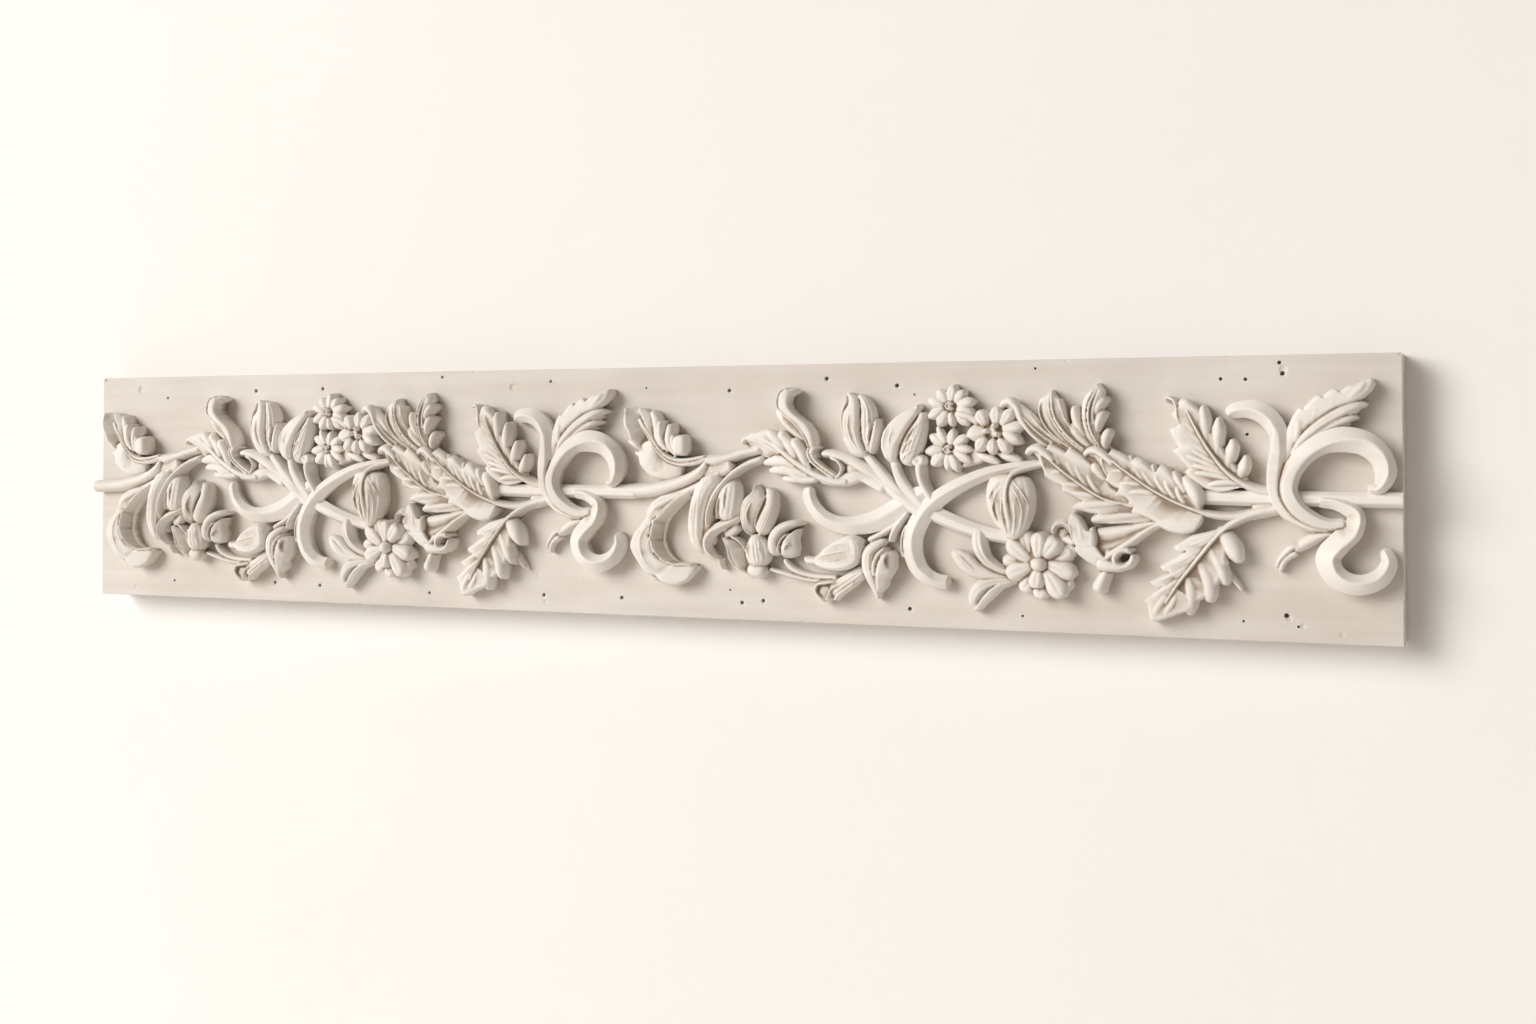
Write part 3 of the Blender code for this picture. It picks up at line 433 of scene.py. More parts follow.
def crescent_leaf():
    """The leaf bent to a crescent: a broad outer face, a nicked ridge and a scoop along its inner edge."""
    return [
        (ground, [(598, 100.5, 606, 99.8, 12), (589, 99, 600.5, 96, 14), (581, 96.8, 595, 91.5, 15),
                  (574, 92, 589.5, 87, 16), (570.5, 86, 585, 83, 16.5), (569.8, 81, 580, 79.5, 15.5),
                  (567.5, 77.5, 577.5, 77, 16.5), (562.5, 71, 576, 70.5, 17), (558, 66, 574.8, 66, 17),
                  (555.8, 60, 575.8, 62, 17), (555.3, 56, 576, 57, 17), (558, 50, 577.8, 52, 16.5),
                  (562, 44.5, 581, 48, 16.5), (565.5, 39, 585.5, 45.3, 16), (568.5, 35.3, 589, 44.3, 15.5),
                  (577, 33.3, 591, 43.5, 14.5), (581, 29.3, 594, 43.3, 15), (588, 26, 599, 43.2, 14.5),
                  (597, 26.2, 604, 43.4, 14), (604.5, 29.3, 609, 43.2, 13.5), (610.5, 36, 612, 42.5, 12.5),
                  (613.5, 41, 613.8, 41.9, 9)]),
        (scoop, [(606, 99.8, 606.5, 96.5, 12), (600, 96, 600.5, 91.8, 15), (592, 90, 594.5, 86, 17),
                 (584.5, 83, 589, 80, 18), (577.5, 78.3, 586, 74, 18.4),
                 (575.3, 70, 584, 66, 18.5), (574.3, 63, 584, 61, 18.5),
                 (575.6, 57, 586.5, 54, 18.3), (578.8, 51, 590.5, 48.8, 17.5), (584, 46, 595.5, 45.2, 16),
                 (590, 44, 601, 43.7, 13)]),
        (rod, [(608, 101.5, 3.6, 13), (600.5, 97, 3.4, 15.8), (592.5, 91.5, 3.2, 17.3), (585, 85, 3, 18.2),
               (579.5, 80.5, 2.6, 18)]),
        (rod, [(579, 79, 1.6, 18), (576, 76, 2, 18.8), (574.4, 71, 2, 19), (573.6, 66, 1.6, 18.4)]),
        (rod, [(576.3, 66.5, 1.6, 18), (574.5, 63, 2, 19), (575, 57, 2, 19), (578, 51.5, 1.6, 18)]),
        # folds that run round the outer face
        (soft, [(600, 98.5, 3, 14), (588, 93, 5, 16.3), (578, 87, 5, 17.2), (573.5, 81, 3, 16)]),
        (soft, [(575, 77, 3, 17), (569, 70, 4, 17.7), (565.5, 61, 4.4, 17.7), (566.5, 52, 4.4, 17.3),
                (571, 43, 4, 16.6), (578, 36.5, 3, 15.3)]),
        # lip along the lower end, and the turned point under it
        (rod, [(588, 45, 2.6, 16), (595, 43, 3, 16), (603, 43.3, 3, 15.3), (610, 42.8, 2.6, 13.5)]),
        (lobe, [(569, 36.5, 4, 11), (573.5, 33.3, 5, 11), (577, 30.8, 4, 9.5), (579, 29.3, 2, 7)]),
    ]


def cocoon():
    """The wound bud: a striped egg, a sheath on its left, and a band that wraps it and hooks round."""
    return [
        (veined(5, 0.045), [(644, 112, 9, 13), (643, 105, 17, 18), (641.5, 95, 22, 20.5), (640, 85, 22, 20.5),
                            (638, 76, 16, 18)]),
        (rod, [(641.5, 105, 2.2, 19), (640.3, 96, 2.6, 22), (640.3, 87, 2.4, 21.8)]),
        (rod, [(635, 97, 2, 20.5), (634.3, 88, 2.4, 21.8), (633.8, 79, 2, 20.5)]),
        (veined(4, 0.05), [(630, 116.5, 634.5, 112, 12), (624, 115.5, 632, 106, 16.5),
                           (617, 111.5, 629, 100, 18.5), (612.5, 104.5, 627, 95, 19.5),
                           (609, 95.5, 625, 88, 20), (606.8, 85, 623.5, 80, 20), (605.8, 76, 623, 73, 19.6),
                           (606.2, 68, 622.5, 66, 18.8), (608.3, 60, 622, 60, 17), (612, 54.5, 622, 55, 15),
                           (617, 50.8, 621, 51, 11)]),
        (rod, [(616, 98, 2, 18.5), (612.5, 88, 2.2, 19.8), (611.3, 77, 2.2, 19.6), (613, 66, 2, 17.5)]),
        (rod, [(626, 110, 2, 17), (620, 101, 2.2, 19.5), (617.5, 90, 2.2, 20.5), (616.5, 79, 2, 19.8)]),
        (pad, [(632, 110, 8, 12), (626, 98, 13, 15), (624, 84, 13, 15.5), (624, 68, 12, 15),
               (624, 58, 8, 12)]),
        # the band that wraps it
        (ridged((0, 0.3, 0.3), (0.6, 0.1, 0.1), (1, 0, 0)),
         [(652, 82.5, 6, 16), (645, 78.5, 8, 19), (637, 74.5, 8.5, 21.5), (629.5, 70.5, 8.5, 21.8),
          (624, 64, 8.5, 21), (623, 56.5, 8, 18), (627, 50.5, 6, 15), (632, 48, 4, 12)]),
        (rod, [(632, 49, 3.4, 12), (632.5, 43.5, 3.4, 10), (634.3, 39, 2.4, 7)]),
        # leaf under it: one rolled edge and a hollow face
        (pad, [(636, 67.5, 5, 12), (643, 69.5, 7.5, 14.5), (650, 75, 6.5, 14)]),
        (rod, [(634.5, 65.5, 2.4, 12), (638.5, 62, 3.4, 15.5), (641.3, 56, 3.6, 16), (642.3, 49, 3.4, 14.5),
               (645.5, 43, 3, 12), (650.5, 39, 2.8, 10), (656, 36.5, 2, 7)]),
        (scoop, [(636, 66, 642, 66, 12), (640, 61, 650, 63, 15), (642, 54, 655, 57, 14.5),
                 (643, 47.5, 656, 49, 12.5), (648, 41, 656, 41, 10), (655, 36.8, 657, 37, 7)]),
        (rod, [(642, 66, 2.4, 13), (648.5, 63.5, 2.8, 14.5), (653, 59, 2.6, 14), (656, 53, 2.4, 12)]),
    ]


def small_buds():
    """The buds, leaves and stems that fill the lower edge between the wound bud and the arc."""
    return [
        # folded pair
        (tilted, [(663, 107, 664, 106, 12), (660.5, 99.5, 668.5, 101, 17), (655.5, 95, 671, 95, 19),
                  (653, 89, 669.5, 88, 20), (653.5, 83.5, 667, 82, 20), (653, 78, 664.5, 77, 19.5),
                  (654.5, 72, 663, 71, 18), (658, 67.5, 662.5, 67, 15)]),
        (rod, [(663.5, 107, 2.4, 12), (662, 100.5, 3, 16), (656.5, 94.8, 3.2, 18), (654.3, 87, 3.2, 19),
               (654.3, 78, 3, 18.3), (657, 70.5, 2.8, 17), (661.5, 67.3, 2.4, 14)]),
        (rod, [(662, 93, 2.2, 18), (659, 84.5, 2.4, 20), (659.8, 75.5, 2.2, 19)]),
        (veined(7, 0.05), [(672, 104.5, 2.5, 11), (676, 99.5, 9, 15), (677, 91, 11.5, 18),
                           (674, 82.5, 14, 19.3), (670, 74.5, 14, 18.5), (666, 68, 8, 15)]),
        (rod, [(673, 99, 2, 16), (670, 90, 2.4, 19.5), (666.5, 81, 2.4, 19.8), (664.8, 73, 2.2, 17.5)]),
        # round bud and the ball below it
        (veined(6, 0.07), [(663.5, 69, 5, 14), (664, 64.5, 13, 17), (665, 58, 20, 18.8),
                           (666, 51.5, 21.5, 19), (666.5, 45.5, 16, 16.5), (667, 42, 10, 14)]),
        (rod, [(660, 64, 2, 16), (658.5, 57, 2.4, 18.8), (660.5, 49, 2, 17.5)]),
        (rod, [(668, 64, 2, 16.5), (669.5, 57, 2.4, 19.3), (671.5, 49.5, 2, 17)]),
        (lobe, [(656.5, 44, 7, 12), (660.5, 40.8, 11, 14.3), (666.5, 40, 12, 14.5), (672, 42.5, 8, 13)]),
        # the shell on its right
        (lobe, [(703, 77, 2.5, 11), (698.5, 77.3, 5, 15), (691, 75.5, 7.5, 17.3), (684, 71.5, 9.5, 18),
                (679.5, 64.5, 10.5, 18), (679.5, 57, 9.5, 17.5), (682, 51.5, 7, 14)]),
        (tilted, [(687, 50.5, 692, 49.5, 13), (685.8, 54, 699, 52, 17.5), (686, 59, 700.8, 58, 19.5),
                  (688.5, 64, 699.8, 64, 20), (692.5, 68.3, 700.2, 68, 19.5), (696, 70.8, 700, 71.5, 18),
                  (699, 73.2, 700.5, 73.5, 14)]),
        (rod, [(684.8, 51.5, 2.4, 15), (684.5, 58, 2.6, 19), (687, 64.5, 2.6, 20.3), (692, 69.5, 2.4, 20)]),
        (rod, [(689.5, 56, 2, 18.5), (691.5, 60.3, 2, 20.8), (695, 62.8, 1.8, 20)]),
        # low stems
        (rod, [(686, 50, 5, 10), (689, 45.5, 5.5, 10), (695, 41, 5.5, 10), (703, 38.3, 5, 9.5),
               (716, 36.3, 5, 9), (730, 36, 4.5, 9)]),
        (rod, [(672.5, 41.5, 3.6, 8), (681, 39.2, 4, 8.5), (692, 36.5, 4, 8.5), (704, 34.2, 4, 8),
               (718, 33, 3.6, 8)]),
        # trumpet with a three-cornered mouth
        (veined(4, 0.08), [(755, 45.5, 8, 11), (746.5, 38.5, 11.5, 14), (738, 32.8, 12.5, 15),
                           (730, 27.5, 14, 15), (724, 24.3, 14, 14)]),
        (rod, [(731, 33.5, 3, 15), (722, 32.3, 3.6, 16), (715, 30.3, 4, 15.5), (713.8, 25.5, 4.4, 14.5),
               (717.5, 20.5, 4.4, 14), (721.5, 17.8, 4, 12.5)]),
        (rod, [(722.5, 18, 4, 13), (724.5, 22, 3.6, 16), (726.5, 27, 3.6, 16.3), (733, 31.5, 3.4, 16)]),
        (rod, [(728, 18.5, 3.6, 12.5), (731.5, 22.5, 4, 15), (738, 27.5, 4, 15.5), (746, 33, 4, 14.5)]),
        (pad, [(713.5, 28.5, 6, 10), (717.5, 26.5, 12, 11.5), (723, 24, 14, 11.5), (728, 24, 12, 12)]),
        # almond leaf
        (ground, [(711, 51.5, 710.5, 46.5, 13), (716.5, 54.5, 717, 43.5, 16), (721, 59, 724.5, 42, 18),
                  (728, 63.5, 732.5, 41.5, 19.5), (734.5, 66.5, 739.5, 42.5, 20), (740, 69, 745.5, 45, 20),
                  (745.5, 69.5, 749, 47.5, 19.5), (750.5, 67.5, 751.5, 52, 17), (752.5, 65.5, 753, 58, 13)]),
        (veined(5, 0.05), [(741, 66, 5, 19), (746, 62, 12, 20.8), (747, 55, 12, 20.5), (744, 47.5, 7, 17.5)]),
        (rod, [(713, 50, 1.8, 15), (722, 53.5, 2.2, 19), (732, 56, 2.2, 20.8), (741, 58, 2, 20.8)]),
        (rod, [(716, 52.5, 1.8, 15.5), (725, 58.5, 2.2, 19.3), (734, 62.5, 2.2, 20.6), (741, 64, 2, 20.6)]),
        (rod, [(717, 47, 1.8, 16), (726, 47.5, 2.2, 19.3), (735, 49, 2.2, 20.7), (742, 51.5, 2, 20.7)]),
        (lobe, [(704.8, 53, 4, 11), (706, 49.5, 6, 13), (711, 48.8, 6.5, 14.5), (717, 49.5, 5, 16)]),
        (pad, [(768, 62, 8, 12), (765, 54, 16, 16), (765.5, 44, 16, 17), (765, 34, 12, 15),
               (764, 26, 6, 11)]),
        # drooping bud of two folds, and its stems
        (veined(5, 0.05), [(770, 65.5, 4, 12), (764, 62, 8, 16), (758, 56, 12.5, 18.5), (757, 47, 13, 19),
                           (759.5, 37, 11, 17.5), (762, 28.5, 7.5, 14), (763, 20, 4, 9)]),
        (lobe, [(771, 60, 3, 18), (766, 55, 4.4, 20.3), (762.8, 47.5, 4.4, 20.5), (762.3, 38, 3.4, 18)]),
        (tilted, [(770.5, 58.5, 776, 58, 16), (767.3, 55, 779.3, 53.5, 20), (764.5, 48, 779.5, 46, 21),
                  (763.5, 42, 777, 41, 21), (763, 36, 773, 36, 19), (763, 31, 771.5, 30.5, 16.5),
                  (763, 26, 766.5, 26.5, 13), (762.5, 20.5, 764.5, 21, 9)]),
        (rod, [(773.5, 56.5, 1.8, 20), (771, 51, 2.2, 22), (773.5, 43.5, 1.8, 20.8)]),
        (rod, [(787, 87, 4.5, 11), (780.5, 79.5, 5.5, 12.5), (775.5, 71.5, 5.5, 13.5), (773, 63.5, 4.5, 14)]),
        (rod, [(784, 83, 5, 9), (772, 74.5, 5.5, 10), (762, 68.5, 5.5, 10.5), (754, 64.5, 5.5, 11)]),
    ]


def scroll_leaf():
    """The leaf that curls over the wound bud: a strong rib, three lobes above it and three below."""
    return [
        (flat_band, [(742, 109.5, 7, 15), (730, 109.5, 7.5, 16.5), (719, 112.8, 7.5, 17.5),
                     (707, 118.7, 7.2, 18), (697, 125.2, 6.6, 18.3), (688, 132, 6, 18.3),
                     (678, 138.3, 5.4, 17.5), (668, 142, 4.6, 16.5), (659, 143.5, 4, 15),
                     (653, 140.5, 3.6, 13.5), (651.5, 137, 2.6, 11)]),
        (ground, [(652.5, 141, 654, 139.5, 12), (656, 145, 659, 141, 15), (661, 147.3, 665, 140.5, 16),
                  (666, 147.8, 670, 139, 16.5), (670, 149.6, 676, 137, 16.5), (676, 149.5, 682, 134, 16.5),
                  (681, 147, 686, 131, 16.5), (683, 144, 689, 129, 16), (684.5, 149.2, 693, 126.5, 16.5),
                  (687, 148.5, 697, 123.5, 17), (691, 144.5, 700, 121, 17), (693, 140.5, 703, 119, 16.5),
                  (694.5, 143, 707, 116.5, 17), (698.5, 142, 710, 115, 17), (702, 139, 713, 114, 17),
                  (704.5, 134, 715, 113, 16), (706, 127, 717, 112, 15)]),
        # hollow under the curled tip, and the lower lobes
        (scoop, [(656, 142, 655, 137.5, 14), (663, 142, 660.5, 133.8, 15.5), (671, 140, 665, 129.8, 16),
                 (679, 136, 670, 127.3, 16), (686, 131.5, 680, 126.5, 15.5)]),
        (soft, [(700, 120, 8, 15.5), (690, 124.5, 9, 15.5), (680, 125, 8, 14.5), (673, 124, 5.5, 12.5),
                (668.3, 123.3, 3, 9)]),
        (soft, [(710, 114, 7, 15.5), (698, 117.5, 10, 15.5), (687, 118.5, 8.5, 14.5), (679, 117.8, 6, 12.5),
                (673, 117.3, 3, 9)]),
        (soft, [(716, 111, 5, 15), (705, 112.5, 10, 15), (697, 112, 8, 14), (690, 111.3, 6, 12),
                (684, 111.3, 3, 9)]),
        (ground, [(690, 127, 682, 121, 14), (698, 122.5, 688, 115.5, 15), (708, 117, 696, 110, 15),
                  (716, 113, 703, 112.5, 14)]),
        # the upper lobes
        (soft, [(690, 131, 6, 17), (684, 139, 9, 17.8), (677, 145.5, 8, 17.3), (671, 148.8, 4, 14)]),
        (soft, [(699, 125, 6, 17), (695.5, 133, 9, 18), (690, 141, 8.5, 18), (686, 146.5, 5.5, 17),
                (684.5, 149, 3, 13)]),
        (lobe, [(708, 119, 6, 17), (705, 127, 9, 18.5), (701.5, 134, 10, 19.3), (697, 139.5, 8, 18.5),
                (693.8, 141.5, 3.5, 15)]),
    ]


def hooded_leaf():
    """The tall leaf whose hood turns over to the right, a low blade on its left, and the hook at its foot."""
    return [
        (ground, [(699.5, 180, 699, 177.8, 12), (696, 181.3, 697, 176, 16), (690.5, 181.2, 695, 173.8, 19),
                  (686.3, 178.5, 694.5, 171, 20), (684.3, 173.5, 694.5, 168.5, 20.5),
                  (684, 168, 696, 165, 20.5), (685.5, 164, 699.5, 161, 20.5), (690.5, 159.5, 705, 157, 20.5),
                  (697, 154, 710.5, 153, 20), (702.5, 148.5, 713.5, 148.5, 20),
                  (706.5, 143, 715, 143.5, 19.5), (708.8, 137.5, 715.5, 138, 18.5),
                  (710, 133, 715, 134, 17)]),
        (rod, [(693, 181.3, 2.6, 17.5), (687, 178.8, 3, 20), (684.8, 173, 3, 21), (684.8, 167, 3, 21.3),
               (689, 161.5, 3, 21.5), (696.5, 155.5, 3, 21.3), (703, 149, 3, 21), (707.5, 142, 3, 20.3),
               (709.8, 135, 3, 19)]),
        (soft, [(709, 136.5, 4, 12), (702.5, 144.5, 8, 14), (694.5, 151.5, 10, 14.5), (687.5, 158, 9, 13.5),
                (682, 163.5, 5, 11), (680.5, 166.5, 2, 8)]),
        (rod, [(704, 141, 2, 14), (696, 149, 2.4, 16), (688, 156, 2.2, 15), (682, 163, 2, 11.5)]),
        # the hook at its foot, round the eye
        (double_rib, [(710.5, 137, 5, 17), (710.3, 131, 5.4, 18.5), (713, 125.5, 5.6, 18.5),
                      (718.5, 120.5, 5.4, 17.5), (724.5, 116.5, 5, 17), (731, 112.5, 5, 16)]),
        (rod, [(716.5, 136.3, 3, 16), (713.3, 134, 3, 17.5), (712.8, 130, 3, 17.5), (715.5, 127, 3, 16)]),
    ]


def tulips():
    """Two split buds on stalks that meet at the crossing, and the cut stalk beside them."""
    return [
        (ground, [(737.5, 178, 741, 177.5, 12), (740.5, 173.5, 748, 173.5, 16), (740.5, 168, 750, 168, 18),
                  (737, 162, 750.5, 161, 19.5), (735.8, 156, 750.8, 155, 20),
                  (736.3, 149, 751.3, 148.5, 20.5), (738, 141, 752.5, 141, 20.3),
                  (740, 135.5, 754.5, 135.5, 19.5), (743, 130.5, 756.5, 131, 17.5),
                  (748.5, 127.5, 756.5, 128, 13.5)]),
        (rod, [(739, 176, 2, 14), (740.3, 170.5, 2.6, 18), (738.3, 164, 2.6, 19.8), (737, 156, 2.6, 20.6),
               (738, 147, 2.4, 20.8), (740.5, 138, 2.2, 19.8)]),
        (rod, [(743, 161, 2, 20), (742.8, 151, 2.8, 21.8), (745.3, 142, 2.8, 21.8), (750, 133.5, 2.2, 19.6)]),
        (rod, [(747, 158, 1.8, 19.5), (747.5, 149, 2.2, 21.2), (750, 140, 2.2, 20.5)]),
        (veined(4, 0.085), [(748, 176, 2.5, 12), (753, 171, 7, 17), (756.3, 163.5, 11, 19.5),
                            (757, 153, 12, 20.3), (756.5, 142, 9, 19.5), (757, 131, 4.5, 15)]),
        (veined(4, 0.06), [(763, 158, 2.5, 14), (763.5, 151, 5.5, 18.5), (762, 143, 7, 19.3),
                           (760, 136, 6, 17.5), (758, 130, 3.5, 13)]),
        (rod, [(760.5, 155, 1.8, 18.5), (758.8, 146, 2.2, 20.8), (757.8, 137, 2, 19)]),
        (pad, [(751.5, 134.5, 5, 13), (756, 127.8, 6.5, 14), (763.5, 119.5, 7, 14), (773, 108.5, 8, 13),
               (783, 98, 9, 12), (793, 89, 9, 12), (802, 81, 8, 12)]),
        (ground, [(793, 166, 798, 166, 13), (785, 162.5, 797, 161, 17), (778.5, 158.5, 793, 155, 19),
                  (773.5, 153.5, 789, 149, 20), (769.3, 147.5, 785, 142, 20.5),
                  (767.5, 141, 782, 136.5, 20.5), (767.3, 135, 780, 131, 19.5), (769, 128.5, 779, 126.5, 17),
                  (772.5, 123.8, 778, 123.5, 13)]),
        (rod, [(777, 155, 2, 19), (772.5, 147, 2.6, 21.3), (770.5, 138, 2.6, 21), (772.5, 129, 2.2, 18)]),
        (rod, [(779, 151, 1.8, 20), (775.8, 142.5, 2.4, 21.6), (775.5, 133.5, 2.2, 20)]),
        (veined(6, 0.06), [(798.8, 162.5, 4, 13), (798.3, 154.5, 9.5, 18), (795, 145, 15, 20.3),
                           (791, 135.5, 17, 20.3), (787.3, 127.5, 15, 18), (784, 121.8, 8, 14)]),
        (rod, [(783.5, 125, 1.6, 17), (788, 130, 2, 19.8), (794, 134, 1.8, 19.4), (797.5, 136.5, 1.4, 17.5)]),
        (rod, [(784, 130, 1.6, 19), (788, 137, 2, 21), (793.5, 142, 2, 20.8), (798.5, 146, 1.6, 19)]),
        (rod, [(786, 137, 1.6, 19.5), (790, 144.5, 2, 21), (795, 150.5, 2, 20.3), (799.5, 155, 1.4, 18)]),
        (rod, [(796, 163.5, 5, 15), (795, 166, 5, 15), (795, 168.5, 3, 12)]),
        (pad, [(774.5, 133, 5.5, 13), (776.5, 125, 6.5, 14), (779, 116, 7.5, 13.8), (784, 106, 8.5, 12.5),
               (792, 96, 9, 12), (801, 86, 8, 12)]),
        (rod, [(808, 92, 8, 12), (801, 104, 8, 14.5), (798, 112, 8.2, 16.5), (797, 119, 9, 17),
               (796.6, 124.5, 9, 16)]),
        (rim_cup, [(796.5, 119.8, 11, 18), (796.5, 125.5, 12.5, 18.5), (796.5, 131.2, 11, 18)]),
    ]


def loop_ribbon():
    """The smooth ribbon that loops from the eye to the crossing."""
    return [
        (ridged((0, 0.35, 0.35), (0.5, 0.1, 0.1), (1, 0, 0)),
         [(706, 106, 10, 12), (707.5, 97, 11.5, 13), (712.5, 88, 12, 14), (720, 81.5, 12.5, 15),
          (729, 77.5, 13, 15), (739, 76, 14, 15), (750, 77, 15.5, 14), (764, 81, 17, 13),
          (778, 89, 16.5, 12), (790, 97, 15, 11.5), (801, 103, 12, 10.5)]),
    ]


def arc_stem():
    """The ribbon from over the hanging bud down to the lower edge, where it is cut off square."""
    return [
        (ridged((0, 0, 0), (0.35, 0.1, 0.1), (0.6, -0.05, -0.05), (1, 0.1, 0.1)),
         [(892, 124, 5, 13), (878, 122.8, 6, 14), (864, 120.3, 7.5, 14.5), (850, 116.8, 9.5, 15),
          (836, 111.5, 11, 15), (822, 104.5, 12.5, 15), (810, 96.5, 14, 15), (801, 87.5, 15, 15.5),
          (794.5, 77, 16, 16), (791, 65, 16, 16), (792.3, 53, 15.5, 16), (797, 43.8, 14, 15.5),
          (804.5, 38, 12, 14.5), (811, 35.6, 9, 11)]),
        (ridged((0, 0.1, 0.1)), [(800, 34, 806, 44.3, 14.6), (805, 31.8, 809.5, 42.3, 14.3),
                                 (811, 30.3, 813.5, 41, 13.6), (818, 29.6, 819, 40.5, 12.8)]),
        (rod, [(786, 78, 2.4, 11), (782.5, 70, 3, 11.5), (782, 62, 3, 12), (783, 52, 2.4, 11)]),
    ]


def blossoms():
    """Three blossoms, the right one the largest, with leaves and leaflets between and below them."""
    forms = flower(820.5, 166.5, ((821, 170, 823, 183, 8), (825, 169.5, 831.5, 178.5, 7),
                                  (827, 167.5, 839.5, 170, 7.5), (827, 164, 840, 159, 7.5),
                                  (826, 161, 835, 151.5, 8.5), (821, 160, 822, 150, 5.5),
                                  (817, 161, 810.5, 150.5, 8), (814, 164, 802.5, 157, 7.5),
                                  (814, 167, 802.5, 171.5, 7.5), (817, 170, 810.5, 179, 7.5)), 15)
    forms += flower(818.5, 134.5, ((820.5, 138, 822.5, 150, 7), (824, 138, 834, 144.5, 7),
                                   (825, 135, 837.5, 133, 6.5), (824, 132, 837.5, 123.5, 7),
                                   (821, 129, 826.5, 116.5, 7), (818, 129, 818.5, 117, 6),
                                   (814, 130, 805, 121.5, 8.5), (813, 134, 799.5, 132, 7.5),
                                   (814, 138, 803.5, 145.5, 7.5)), 14)
    forms += flower(854, 148, ((856, 153, 856.5, 167, 10), (861, 152.7, 869, 164.5, 9),
                               (862.5, 149.3, 877.5, 151, 8.5), (862.5, 145.5, 875.5, 138.5, 8.5),
                               (859, 141, 866, 130.5, 8.5), (853.5, 140.5, 852.5, 129.5, 8.5),
                               (847.7, 141.7, 840.5, 132.5, 9), (847, 147.2, 833, 144.5, 11),
                               (847.7, 152.8, 842, 163.5, 10)), 18)
    for x, z, high in ((820.5, 166.3, 17.5), (819, 134, 16.5)):
        forms += small_ring(x, z, high) + bead(x, z, 3.4, 3.4, high - 1)
    for x, z, wide, tall in ((849.6, 147.5, 6.5, 5.6), (855.4, 151.6, 5.8, 5), (857.6, 145, 6.2, 5.4)):
        forms += bead(x, z, wide, tall, 20.8)
    forms += [
        (pad, [(850, 148, 9, 16), (854, 148, 12, 17), (859, 148, 9, 16)]),
        # leaves that lie between the flowers
        (petal, [(824, 161, 4, 15), (830, 159.5, 6, 17), (836, 158, 6.5, 17), (840.5, 154.5, 6, 16),
                 (842.5, 149.5, 3, 12)]),
        (petal, [(817.5, 138, 3.5, 13), (815, 142, 6, 14), (812.5, 146.5, 6, 14), (809.5, 151.5, 3, 11)]),
        (pad, [(831, 129, 8, 8), (838, 128.5, 12, 9.5), (846, 131, 10, 9)]),
        # leaflets below them
        (petal, [(838, 131, 3, 9), (845, 128.5, 6.5, 11), (852, 126, 6.5, 11), (858, 123, 3, 9)]),
        (petal, [(855, 132, 3, 10), (861, 129.5, 6.5, 12), (868, 127.5, 7, 12), (875, 124.5, 4, 10)]),
        (lobe, [(828, 121, 3, 8), (835, 124, 5, 9), (842, 125, 3, 8)]),
    ]
    return forms


def daisy():
    """The large lower flower: two tiers of fat petals round an oval button."""
    forms = []
    for high, wide, (x, z), (mid_x, mid_z), (tip_x, tip_z) in (
            (20.5, 12.5, (888, 57), (888.3, 66), (889, 74.5)),
            (20, 14, (892, 57.5), (897, 63), (902.5, 70)),
            (14, 12.5, (879, 59), (877, 67), (875.5, 75)),
            (16, 12.5, (879, 54), (871.5, 60), (864, 68)),
            (13, 9, (875, 53), (867, 52.5), (859, 53)),
            (16.5, 13, (880, 48.5), (871.5, 46), (863.5, 40.5)),
            (12.5, 11, (882, 42), (877.5, 36.5), (876, 29)),
            (12, 11.5, (888, 39), (888, 32), (887.5, 24.5)),
            (18.5, 12, (887.5, 46), (886, 40), (886, 32.5)),
            (17.5, 14.5, (893.5, 44.5), (899, 37), (905.5, 26.5)),
            (12, 11.5, (899, 42), (905, 36.5), (911, 34)),
            (17.5, 12.5, (895, 50), (904, 47.5), (914, 43)),
            (14.5, 12.5, (895, 54), (903, 57), (912, 61.5))):
        points = [(1.2 * x - 0.2 * tip_x, 1.2 * z - 0.2 * tip_z, 0.6 * wide, 0.86 * high),
                  (0.5 * (x + mid_x), 0.5 * (z + mid_z), 0.98 * wide, 0.98 * high)]
        for near, far, w, h in ((0.6, 0.4, 1.14, 1.0), (0.3, 0.7, 0.95, 0.97), (0.1, 0.9, 0.6, 0.88)):
            points.append((near * mid_x + far * tip_x, near * mid_z + far * tip_z, w * wide, h * high))
        points.append((tip_x, tip_z, 0.15 * wide, 0.7 * high))
        forms.append((petal, points))
    forms.append((pad, [(888, 36, 14, 9), (888, 45, 26, 13), (888, 53, 27, 14), (888, 63, 18, 12)]))
    forms.append((lobe, [(888, 44.5, 9, 19), (888, 48, 12.5, 21.3), (888, 54, 12.5, 21.3), (888, 57, 9, 19)]))
    return forms


